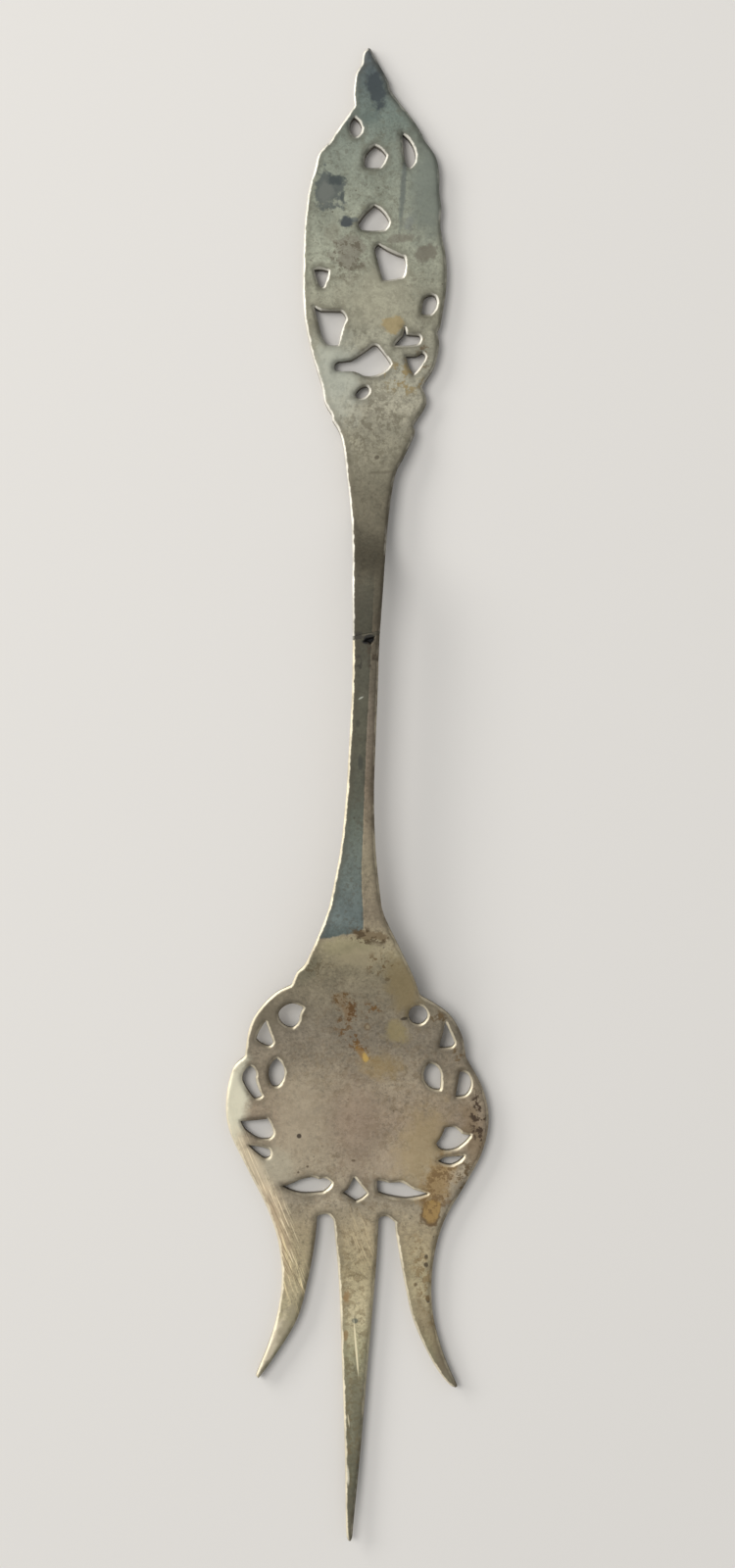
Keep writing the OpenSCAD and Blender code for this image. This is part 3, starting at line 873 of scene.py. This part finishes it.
# %% Group: worn edge
wear_group, given, result = group("worn_edge", [
    ("Edge", "Float", 0.0), ("Width", "Float", 0.3), ("Wobble", "Float", 0.0), ("Break up", "Float", 0.4),
], [("Mask", "Float")])
tree = wear_group
shifted = maths(tree, "ADD", given["Edge"], maths(tree, "MULTIPLY", given["Wobble"], given["Break up"]))
full = maths(tree, "MULTIPLY", given["Width"], 0.45)
tree.links.new(ramped(tree, shifted, given["Width"], full), result["Mask"])
print("groups:", [g.name for g in bpy.data.node_groups])

# %% [markdown]
# ## Materials: one recipe for tarnished metal
# All three pieces share one recipe. The colour changes along the fork by a
# ramp, and a second, darker and cooler ramp on the left facet of the stem is
# painted reflection. Mottling comes over it, then grime, which gathers along the
# edges, the pits and the list of stains. Wear bares the metal along the edges,
# and the bare colour is laid on far more strongly where a bevel faces left,
# towards the lamps, which makes it partly painted highlight. The sawn walls are
# dark. Where dirt lies the surface is rougher and less metallic. A stain counts
# as dirt if its three colour numbers add up to less than DIRT_BELOW.

# %% Recipe
GRIME, EDGE_GRIME = 0.3, 0.42
# painted highlight: how strongly the worn colour is laid on bevels that face left, towards the lamps
LEFT_BEVEL_HIGHLIGHT = 0.75
SAWN = 0.75
CLEAN_METAL = 0.85
DIRT_BELOW = 330


def colour_ramp(tree, value, stops):
    """Colour along the fork, from (y in mm, red, green, blue) listed upwards."""
    ramp = put(tree, "ValToRGB", {"Fac": value})
    band = ramp.color_ramp
    while len(band.elements) < len(stops):
        band.elements.new(0.5)
    for element, (y, *rgb) in zip(band.elements, stops):
        element.position = (y + HALF_LENGTH) / (2 * HALF_LENGTH)
        element.color = ink(*rgb)
    return ramp.outputs[0]


def lay(tree, under_colour, over_colour, mask):
    """One colour laid over another where the mask is 1."""
    return put(tree, "Mix", {0: mask, 6: under_colour, 7: over_colour}, data_type="RGBA").outputs[2]


def stain_mask(tree, place, spot):
    """Mask of one row of a stain list."""
    kind, x, y, wide, high, turn, soft, ragged, strength = spot[:9]
    angle = math.radians(turn)
    mask = use(tree, stain_group, Plan=place["Plan"], Middle=(x, y, 0.0), Half_size=(wide, high, 1000.0),
               Turn=angle, Softness=soft, Ragged=ragged, Wobble=place["Wobble"])[0]
    if kind == "flecks":
        spots = use(tree, fleck_group, Plan=place["Plan"], Size=0.75, Cover=0.5)[0]
        mask = maths(tree, "MULTIPLY", mask, spots)
    if kind == "scratches":
        lines = use(tree, scratch_group, Plan=place["Plan"], Turn=angle, Across=4.2, Along=0.16,
                    Cover=0.55)[0]
        mask = maths(tree, "MULTIPLY", mask, lines)
    return maths(tree, "MULTIPLY", maths(tree, "MULTIPLY", mask, place["Face"]), strength)


def tarnished_metal(name, stops, reflection_stops, stains, worn_and_highlight, wear_width):
    """Material of one piece, from its colours along Y, the colours of the painted
    reflection on the stem's left facet, its stains and the colour that its worn
    edges show, which is laid on mostly where a bevel faces left as painted
    highlight."""
    material = bpy.data.materials.new(name)
    material.use_nodes = True
    tree = material.node_tree
    shader = tree.nodes["Principled BSDF"]
    place = use(tree, place_group)
    along = place["Along"]
    # painted reflection: the left facet of the stem takes a darker, cooler ramp
    reflection_mask = put(tree, "Attribute", {}, attribute_name="left_facet").outputs["Fac"]
    reflection_mask = ramped(tree, maths(tree, "ADD", reflection_mask, maths(tree, "MULTIPLY", place["Wobble"], 0.5)), 0.3, 0.7)
    reflection_mask = maths(tree, "MULTIPLY", reflection_mask, place["Face"])
    colour = lay(tree, colour_ramp(tree, along, stops), colour_ramp(tree, along, reflection_stops), reflection_mask)
    broad = put(tree, "TexNoise", {"Vector": place["Plan"], "Scale": 0.35, "Detail": 5.0, "Roughness": 0.6})
    fine = put(tree, "TexNoise", {"Vector": place["Plan"], "Scale": 3.2, "Detail": 5.0, "Roughness": 0.7})
    patches = ramped(tree, broad.outputs[0], 0.25, 0.75, "LINEAR")
    grain = ramped(tree, fine.outputs[0], 0.25, 0.75, "LINEAR")
    shade = maths(tree, "ADD", maths(tree, "MULTIPLY", patches, 0.5), maths(tree, "MULTIPLY", grain, 0.6))
    shade = maths(tree, "ADD", shade, 0.45)
    colour = put(tree, "VectorMath", {0: colour, "Scale": shade}, operation="SCALE").outputs[0]
    pits = use(tree, pit_group, Plan=place["Plan"], Spacing=1.1, Radius=0.13, Share=0.3)[0]
    pits = maths(tree, "MULTIPLY", pits, 0.55)
    edge = put(tree, "Attribute", {}, attribute_name="edge_mm").outputs["Fac"]
    half_wobble = maths(tree, "MULTIPLY", place["Wobble"], 0.5)
    near_edge = ramped(tree, maths(tree, "ADD", edge, half_wobble), 0.9, 0.2)
    grime = use(tree, fleck_group, Plan=place["Plan"], Size=0.5, Cover=0.42)[0]
    near_edge = maths(tree, "MULTIPLY", near_edge, EDGE_GRIME)
    grime = maths(tree, "MAXIMUM", maths(tree, "MULTIPLY", grime, GRIME), near_edge)
    colour = lay(tree, colour, ink(74, 66, 50), grime)
    colour = lay(tree, colour, ink(62, 52, 38), pits)
    dirt = maths(tree, "MAXIMUM", pits, grime)
    for spot in stains:
        mask = stain_mask(tree, place, spot)
        colour = lay(tree, colour, ink(*spot[9:]), mask)
        if sum(spot[9:]) < DIRT_BELOW:
            dirt = maths(tree, "MAXIMUM", dirt, mask)
    wear_and_highlight = use(tree, wear_group, Edge=edge, Width=wear_width, Wobble=place["Wobble"], Break_up=0.22)[0]
    # painted highlight: the worn colour is laid on mostly where a bevel faces left
    painted_left_highlight = maths(tree, "MULTIPLY", place["Left"], LEFT_BEVEL_HIGHLIGHT)
    bare = maths(tree, "MULTIPLY", ramped(tree, broad.outputs[0], 0.42, 0.62), 0.3)
    wear_and_highlight = maths(tree, "MULTIPLY", wear_and_highlight, maths(tree, "ADD", painted_left_highlight, bare), clamp=True)
    colour = lay(tree, colour, ink(*worn_and_highlight), wear_and_highlight)
    drawn = put(tree, "VectorMath", {0: place["Plan"], 1: (5.0, 5.0, 0.7)}, operation="MULTIPLY").outputs[0]
    file_marks = put(tree, "TexNoise", {"Vector": drawn, "Scale": 1.0, "Detail": 3.0}).outputs[0]
    sawn = maths(tree, "MULTIPLY", place["Wall"], SAWN)
    colour = lay(tree, colour, ink(78, 70, 56), sawn)
    rough = put(tree, "MapRange", {"Value": fine.outputs[0], "To Min": 0.46, "To Max": 0.62}).outputs[0]
    rough = maths(tree, "ADD", rough, maths(tree, "MULTIPLY", dirt, 0.2))
    rough = maths(tree, "SUBTRACT", rough, maths(tree, "MULTIPLY", wear_and_highlight, 0.1), clamp=True)
    metal = maths(tree, "SUBTRACT", CLEAN_METAL, maths(tree, "MULTIPLY", dirt, 0.5))
    height = maths(tree, "SUBTRACT", maths(tree, "MULTIPLY", fine.outputs[0], 0.5), pits)
    height = maths(tree, "ADD", height, maths(tree, "MULTIPLY", file_marks, place["Wall"]))
    bump = put(tree, "Bump", {"Strength": 0.5, "Distance": 0.00003, "Height": height})
    tree.links.new(colour, shader.inputs["Base Color"])
    tree.links.new(rough, shader.inputs["Roughness"])
    tree.links.new(metal, shader.inputs["Metallic"])
    tree.links.new(bump.outputs[0], shader.inputs["Normal"])
    print(name, "has", len(tree.nodes), "nodes and", len(stains), "stains")
    return material


# %% [markdown]
# ## Finish of the handle
# The blade is a pale greenish grey, bluer at the flame and darker down the
# stem. The left facet of the stem takes a darker ramp of its own, which is
# painted reflection. Dark blotches sit near its left edge, brown ones to the
# right, and an orange spot above the small openings. A greyer patch along the
# right of the upper blade is painted shade, the right side darker than the
# left. Each row of the list is a kind, the place, the half width and height,
# a turn in degrees, how soft and ragged the rim is, a strength and a screen
# colour.

# %% Handle metal
HANDLE_COLOURS = [
    (12, 110, 98, 82), (19, 92, 86, 72), (24, 90, 84, 70), (30, 108, 102, 86), (35, 134, 129, 111),
    (39, 154, 149, 131), (43, 152, 149, 132), (48, 140, 137, 119), (54, 144, 145, 128), (60, 133, 136, 121),
    (65, 122, 127, 115), (68, 110, 119, 110), (71, 92, 100, 96), (75, 92, 100, 104),
]
# painted reflection on the left facet of the stem, above the joint
HANDLE_FACET_REFLECTION = [
    (12, 68, 68, 57), (16, 68, 66, 55), (19, 74, 71, 60), (23, 82, 78, 65), (30, 106, 100, 84),
]
HANDLE_STAINS = [
    ("flecks", 0.0, 46.0, 6.5, 18.0, 0, 0.5, 0.8, 0.3, 108, 104, 86),
    # painted shade: the right side of the upper blade, greyer and darker than the left
    ("stain", 5.2, 61.0, 1.9, 5.0, 0, 0.6, 0.8, 0.75, 110, 115, 106),
    ("stain", -3.6, 42.0, 2.0, 4.0, 12, 0.6, 0.8, 0.6, 172, 174, 161),
    ("stain", 0.5, 50.0, 3.6, 2.6, 0, 0.6, 0.8, 0.45, 158, 153, 132),
    ("stain", -0.2, 70.7, 0.85, 1.9, 12, 0.35, 1.2, 0.85, 54, 61, 64),
    ("stain", -1.6, 67.6, 1.4, 0.7, 20, 0.4, 1.2, 0.5, 92, 103, 97),
    ("stain", 2.65, 60.6, 0.28, 3.4, -3, 0.5, 0.7, 0.7, 92, 97, 92),
    ("stain", 3.3, 57.4, 0.5, 0.9, 0, 0.5, 1.0, 0.5, 112, 115, 112),
    ("stain", -4.75, 60.6, 1.45, 1.85, 15, 0.22, 1.3, 0.85, 80, 85, 82),
    ("stain", -5.0, 60.2, 0.75, 1.0, 0, 0.4, 1.2, 0.6, 112, 114, 106),
    ("stain", -4.1, 61.6, 0.75, 0.55, 0, 0.3, 1.2, 0.8, 60, 67, 66),
    ("stain", -3.4, 59.9, 0.2, 0.6, -8, 0.3, 0.8, 0.8, 70, 76, 74),
    ("stain", -3.0, 57.3, 0.62, 0.55, 0, 0.3, 1.0, 0.9, 56, 62, 66),
    ("stain", -2.1, 57.6, 0.35, 0.25, 0, 0.3, 1.0, 0.6, 84, 90, 90),
    ("stain", -2.6, 54.1, 1.5, 1.6, 0, 0.35, 1.6, 0.55, 118, 110, 96),
    ("flecks", -2.7, 53.8, 1.7, 1.9, 0, 0.4, 1.0, 0.7, 92, 84, 68),
    ("stain", -4.4, 56.2, 0.9, 0.7, 0, 0.4, 1.2, 0.4, 120, 116, 100),
    ("stain", 2.6, 55.8, 1.3, 0.45, 8, 0.35, 1.2, 0.6, 116, 110, 96),
    ("stain", 5.2, 54.4, 1.1, 0.75, 15, 0.3, 1.2, 0.7, 108, 101, 87),
    ("stain", 2.0, 47.1, 1.1, 0.85, 5, 0.22, 1.0, 0.75, 150, 132, 92),
    ("flecks", 3.4, 42.0, 2.4, 1.7, 10, 0.4, 0.8, 0.8, 140, 122, 82),
    ("flecks", 5.2, 43.8, 0.6, 2.2, 10, 0.4, 0.8, 0.8, 96, 80, 56),
    ("flecks", 0.2, 36.8, 3.0, 3.4, 0, 0.5, 0.8, 0.45, 104, 96, 78),
    ("stain", 0.6, 33.7, 0.26, 0.2, 0, 0.3, 0.8, 0.8, 84, 76, 60),
    ("stain", 1.2, 32.2, 1.2, 0.16, 4, 0.4, 1.0, 0.5, 92, 84, 68),
    ("stain", -0.9, 15.75, 0.4, 0.35, 0, 0.4, 1.2, 0.8, 52, 48, 38),
]
# bare metal colour of the worn edges, laid on mostly on bevels that face left as painted highlight
WORN_AND_LIT_GREY = (226, 220, 206)
handle_metal = tarnished_metal("handle_metal", HANDLE_COLOURS, HANDLE_FACET_REFLECTION, HANDLE_STAINS, WORN_AND_LIT_GREY, 0.26)
handle.data.materials.append(handle_metal)

# %% [markdown]
# ## Finish of the head
# Below the joint the left facet of the stem is blue-grey, a painted reflection,
# and it ends at a slanting line on the crest. The neck is cream with brown flecks,
# and the brighter cream just below the crest is painted reflection of warm light.
# The plate is a warm pinkish grey, and the tines are worn to gold. A broad bright
# band follows the left flank, a painted highlight of its sloping rim, with long
# scratches from it down into the left tine, and orange and brown stains gather on
# the right.

# %% Head metal
HEAD_COLOURS = [
    (-75, 112, 108, 92), (-70, 108, 106, 88), (-65, 130, 127, 105), (-60, 132, 127, 105),
    (-56, 158, 153, 123), (-52, 188, 176, 143), (-48, 170, 157, 125), (-44, 161, 147, 119),
    (-41, 150, 139, 119), (-37, 160, 147, 125), (-33, 148, 132, 112), (-29, 150, 137, 116),
    (-24, 146, 135, 117), (-19, 151, 140, 117), (-16, 162, 151, 123), (-12, 147, 134, 113),
    (-7, 143, 133, 111), (0, 130, 117, 99), (7, 122, 111, 97), (12, 104, 96, 82), (16, 98, 90, 76),
]
# painted reflection on the left facet of the stem, below the joint
HEAD_FACET_REFLECTION = [
    (-15, 86, 93, 88), (-12, 90, 98, 95), (-7, 92, 98, 91), (-3, 84, 88, 78),
    (0, 78, 78, 67), (5, 76, 74, 62), (12, 74, 72, 61), (16, 68, 65, 55),
]
HEAD_STAINS = [
    ("flecks", 1.0, -32.0, 9.0, 12.0, 0, 0.5, 0.8, 0.3, 112, 92, 62),
    ("flecks", 0.0, -56.0, 1.6, 14.0, 0, 0.5, 0.8, 0.45, 108, 90, 56),
    # painted highlight: these three rows are the bright band along the sloping left flank
    ("stain", -12.4, -31.5, 1.3, 5.4, -6, 0.45, 0.6, 0.85, 208, 203, 180),
    ("stain", -10.3, -37.5, 0.8, 3.6, 28, 0.5, 0.6, 0.7, 204, 188, 160),
    ("stain", -8.2, -44.5, 1.4, 4.5, 12, 0.6, 0.7, 0.55, 206, 182, 150),
    ("scratches", -8.3, -42.5, 8.0, 1.5, -66, 0.5, 0.6, 0.9, 236, 220, 184),
    ("scratches", -6.2, -48.5, 4.5, 1.2, -72, 0.5, 0.6, 0.9, 232, 214, 170),
    ("scratches", -7.4, -45.5, 7.5, 1.5, -64, 0.5, 0.6, 0.7, 112, 98, 70),
    ("stain", -8.2, -55.5, 0.7, 3.6, -30, 0.5, 0.8, 0.6, 222, 208, 184),
    ("stain", -6.4, -53.0, 0.55, 2.6, -25, 0.5, 1.0, 0.6, 122, 114, 88),
    ("stain", -5.6, -33.0, 3.0, 4.0, 0, 0.7, 0.8, 0.5, 168, 156, 133),
    ("stain", -8.0, -37.5, 1.6, 1.6, 0, 0.6, 0.8, 0.5, 174, 167, 146),
    ("stain", 0.0, -33.5, 2.2, 5.0, 0, 0.7, 0.8, 0.45, 138, 120, 103),
    ("stain", 3.6, -37.0, 2.0, 1.4, 0, 0.6, 0.8, 0.4, 168, 150, 128),
    ("stain", -9.2, -22.6, 1.6, 1.4, 30, 0.6, 0.8, 0.6, 126, 116, 96),
    ("stain", 4.2, -19.2, 1.4, 3.0, 22, 0.5, 0.8, 0.7, 150, 132, 94),
    # painted reflection: these two rows are the warm light on the neck below the crest
    ("stain", -1.2, -15.2, 2.5, 1.0, 4, 0.4, 1.0, 0.6, 158, 149, 116),
    ("stain", 0.1, -16.3, 2.3, 0.9, 0, 0.45, 1.0, 0.7, 174, 161, 131),
    ("stain", -5.2, -17.6, 0.8, 1.8, -28, 0.5, 1.0, 0.5, 120, 116, 96),
    ("flecks", -4.6, -17.4, 1.4, 1.0, 0, 0.4, 1.0, 0.7, 92, 80, 56),
    ("stain", 0.8, -13.95, 1.75, 0.42, -4, 0.3, 1.6, 0.75, 106, 88, 60),
    ("flecks", 0.8, -14.1, 2.1, 0.8, -4, 0.4, 1.0, 0.9, 78, 62, 38),
    ("flecks", 1.9, -16.9, 1.5, 1.1, -20, 0.4, 1.0, 0.9, 104, 84, 52),
    ("stain", 2.7, -18.4, 0.3, 0.22, 0, 0.3, 1.0, 0.8, 96, 80, 52),
    ("stain", -1.8, -20.5, 0.8, 0.55, 0, 0.4, 1.8, 0.5, 124, 98, 62),
    ("flecks", -1.7, -20.6, 1.1, 0.8, 0, 0.4, 1.0, 1.0, 102, 76, 40),
    ("stain", -1.1, -21.9, 0.6, 0.9, 12, 0.4, 1.8, 0.6, 126, 96, 56),
    ("flecks", -1.1, -21.9, 0.9, 1.2, 12, 0.4, 1.0, 1.0, 100, 72, 38),
    ("flecks", 1.2, -21.4, 0.8, 0.7, 0, 0.4, 1.0, 1.0, 112, 84, 48),
    ("stain", 0.8, -23.3, 0.36, 0.36, 0, 0.25, 0.8, 0.6, 112, 90, 58),
    ("stain", 0.85, -23.28, 0.2, 0.2, 0, 0.3, 0.8, 0.8, 152, 138, 112),
    ("flecks", -0.3, -24.9, 2.4, 0.75, -48, 0.4, 1.0, 1.0, 106, 78, 42),
    ("stain", 0.3, -25.9, 0.9, 0.35, -55, 0.4, 1.4, 0.7, 140, 106, 54),
    ("stain", 2.1, -27.2, 2.0, 1.1, -8, 0.6, 1.2, 0.5, 158, 134, 86),
    ("stain", 0.7, -26.4, 0.25, 0.5, 15, 0.35, 1.0, 0.9, 190, 158, 88),
    ("stain", 3.8, -23.8, 1.1, 1.1, 20, 0.5, 1.2, 0.65, 164, 148, 104),
    ("stain", 4.5, -22.35, 0.38, 0.16, 10, 0.3, 0.8, 0.9, 62, 54, 42),
    ("stain", 6.5, -35.5, 2.2, 4.2, -14, 0.6, 0.8, 0.6, 160, 141, 104),
    ("stain", 8.2, -38.8, 1.3, 2.6, -24, 0.45, 1.2, 0.6, 150, 120, 70),
    ("stain", 7.55, -42.0, 1.0, 1.25, -10, 0.14, 0.6, 0.85, 92, 70, 40),
    ("stain", 7.62, -41.65, 0.86, 1.2, -10, 0.16, 0.6, 1.0, 152, 124, 76),
    ("flecks", 8.3, -39.4, 1.4, 3.4, -20, 0.5, 1.0, 0.7, 104, 78, 44),
    ("flecks", 10.7, -38.4, 1.0, 1.8, -30, 0.4, 1.0, 0.9, 92, 74, 46),
    ("stain", 11.7, -34.0, 0.9, 3.8, 14, 0.5, 1.0, 0.6, 118, 98, 70),
    ("flecks", 12.3, -32.4, 1.0, 3.2, 8, 0.4, 1.0, 1.0, 66, 50, 34),
    ("flecks", 8.0, -22.2, 0.9, 0.6, -20, 0.4, 1.0, 0.9, 100, 80, 50),
    ("flecks", 10.0, -25.8, 0.6, 1.3, 10, 0.4, 1.0, 0.9, 100, 80, 50),
    ("stain", -5.8, -34.45, 0.24, 0.24, 0, 0.25, 0.4, 0.95, 62, 52, 40),
    ("stain", -4.9, -37.5, 0.14, 0.12, 0, 0.3, 0.4, 0.8, 84, 70, 52),
    ("stain", -5.8, -38.1, 0.12, 0.12, 0, 0.3, 0.4, 0.8, 84, 70, 52),
    ("stain", -0.3, -36.8, 0.2, 0.12, 0, 0.3, 0.4, 0.8, 92, 76, 56),
    ("scratches", 0.6, -45.0, 3.0, 1.4, -68, 0.5, 0.6, 0.6, 200, 182, 146),
    ("stain", 7.9, -54.0, 0.9, 4.2, 25, 0.5, 0.8, 0.55, 118, 100, 72),
    ("stain", -0.7, -50.5, 0.3, 0.6, 0, 0.4, 1.2, 0.6, 146, 112, 66),
    ("stain", -0.7, -54.3, 0.25, 0.5, 0, 0.4, 1.2, 0.6, 142, 110, 66),
    ("stain", 0.5, -60.5, 0.45, 4.0, 2, 0.5, 0.8, 0.5, 104, 100, 78),
    ("stain", 0.2, -52.9, 0.27, 0.25, 0, 0.3, 0.6, 0.85, 92, 96, 84),
    ("stain", 0.37, -55.7, 0.1, 2.6, 6, 0.4, 0.3, 0.9, 232, 220, 184),
    ("stain", -0.25, -62.9, 0.07, 0.6, 8, 0.4, 0.3, 0.7, 210, 200, 170),
    ("stain", -0.2, -68.4, 0.14, 0.9, 4, 0.4, 0.3, 0.7, 206, 200, 180),
    ("stain", 7.2, -46.3, 0.24, 0.3, 0, 0.35, 1.0, 0.9, 66, 56, 40),
    ("stain", 7.2, -47.1, 0.2, 0.26, 0, 0.35, 1.0, 0.9, 72, 60, 42),
    ("stain", 7.45, -50.6, 0.2, 0.4, 10, 0.35, 1.0, 0.9, 60, 52, 40),
    ("stain", 6.2, -49.1, 0.2, 0.2, 0, 0.35, 1.0, 0.8, 92, 74, 48),
    ("flecks", 7.0, -48.5, 1.0, 4.0, 12, 0.5, 0.8, 0.6, 122, 98, 58),
    ("stain", 9.4, -57.6, 0.7, 2.2, 28, 0.5, 0.8, 0.5, 112, 100, 84),
    ("stain", 0.18, 15.25, 0.62, 0.36, 18, 0.25, 1.0, 1.0, 14, 12, 10),
    ("flecks", 0.6, 14.3, 0.6, 0.9, 0, 0.5, 1.0, 0.8, 68, 56, 40),
    ("flecks", 0.7, 12.9, 0.6, 0.6, 0, 0.4, 1.0, 0.9, 62, 52, 38),
    ("flecks", -0.9, 12.6, 0.6, 1.2, 0, 0.4, 1.0, 0.9, 54, 50, 40),
    ("stain", -0.5, 9.5, 0.3, 0.09, 30, 0.35, 0.6, 0.8, 150, 150, 138),
    ("stain", -0.75, 7.0, 0.25, 0.4, 0, 0.4, 1.0, 0.7, 62, 60, 48),
    ("stain", -0.4, 3.2, 0.25, 0.7, 0, 0.4, 1.0, 0.7, 60, 60, 50),
]
# bare metal colour of the worn edges, laid on mostly on bevels that face left as painted highlight
WORN_AND_LIT_CREAM = (232, 220, 192)
head_metal = tarnished_metal("head_metal", HEAD_COLOURS, HEAD_FACET_REFLECTION, HEAD_STAINS, WORN_AND_LIT_CREAM, 0.28)
head.data.materials.append(head_metal)

# %% [markdown]
# ## Finish of the solder
# Solder is softer and greyer than the sheet. Its line across the face is dull
# and dirty, with the darkest grime near the pit.

# %% Solder metal
SOLDER_COLOURS = [(14, 84, 80, 68), (17, 88, 84, 72)]
SOLDER_STAINS = [
    ("stain", 0.2, 15.5, 0.55, 0.3, 15, 0.35, 1.0, 0.9, 30, 27, 22),
    ("stain", -0.95, 15.5, 0.45, 0.3, 0, 0.4, 1.2, 0.8, 50, 46, 38),
]
# bare metal colour of the worn edges, laid on mostly on bevels that face left as painted highlight
WORN_AND_LIT_SOLDER = (150, 146, 134)
solder_metal = tarnished_metal("solder_metal", SOLDER_COLOURS, SOLDER_COLOURS, SOLDER_STAINS,
                               WORN_AND_LIT_SOLDER, 0.2)
solder.data.materials.append(solder_metal)

# %% [markdown]
# ## Table, light and camera
# The photograph looks straight down, and the fork lies a little askew in it. A
# large soft lamp stands high on the left, as the short shadows on the right
# tell, and a low one behind it gives the worn edges their shine. The table is
# plain and pale.

# %% Table
TABLE_HALF = 1.2
table_grid = np.linspace(-TABLE_HALF, TABLE_HALF, 9)
tx, ty = (a.ravel() for a in np.meshgrid(table_grid, table_grid))
table_mesh = bpy.data.meshes.new("table")
corner = (np.arange(8)[:, None] * 9 + np.arange(8)).ravel()
table_mesh.from_pydata(
    np.column_stack([tx, ty, np.full(len(tx), -0.00004)]), [],
    np.column_stack([corner, corner + 1, corner + 10, corner + 9]),
)
table = bpy.data.objects.new("table", table_mesh)
bpy.context.scene.collection.objects.link(table)
table_paint = bpy.data.materials.new("table_paint")
table_paint.use_nodes = True
table_shader = table_paint.node_tree.nodes["Principled BSDF"]
table_shader.inputs["Base Color"].default_value = ink(214, 210, 204)
table_shader.inputs["Roughness"].default_value = 0.9
table.data.materials.append(table_paint)

# %% Lamps and sky
def lamp(name, azimuth, elevation, distance, width, height, watts):
    """Rectangular lamp at an angle round and above the fork, turned to face it."""
    a, e = math.radians(azimuth), math.radians(elevation)
    data = bpy.data.lights.new(name, "AREA")
    data.shape = "RECTANGLE"
    data.size, data.size_y, data.energy = width, height, watts
    made = bpy.data.objects.new(name, data)
    bpy.context.scene.collection.objects.link(made)
    made.location = (
        distance * math.cos(e) * math.cos(a), distance * math.cos(e) * math.sin(a), distance * math.sin(e),
    )
    made.rotation_euler = (math.pi / 2 - e, 0, a + math.pi / 2)
    return made


lamp("high_left", 160, 64, 0.9, 0.45, 0.45, 4.0)
lamp("low_left", 150, 24, 0.8, 0.7, 0.25, 3.7)
sky = bpy.data.worlds.new("sky")
sky.use_nodes = True
sky.node_tree.nodes["Background"].inputs["Color"].default_value = (0.47, 0.48, 0.49, 1)
bpy.context.scene.world = sky
bpy.context.scene.view_settings.view_transform = "Standard"

# %% Camera
VIEW_HEIGHT = 157.5
EYE = (0.33, 1.0, 261.0)
ROLL = math.radians(1.19)
camera_data = bpy.data.cameras.new("camera")
camera_data.sensor_width = 36.0
camera_data.lens = 36.0 * (EYE[2] - 1.0) / VIEW_HEIGHT
camera_data.clip_start = 0.005
camera = bpy.data.objects.new("camera", camera_data)
bpy.context.scene.collection.objects.link(camera)
camera.location = [v * MM for v in EYE]
camera.rotation_euler = (0, 0, ROLL)
bpy.context.scene.camera = camera
print("lens", round(camera_data.lens, 1), "mm")
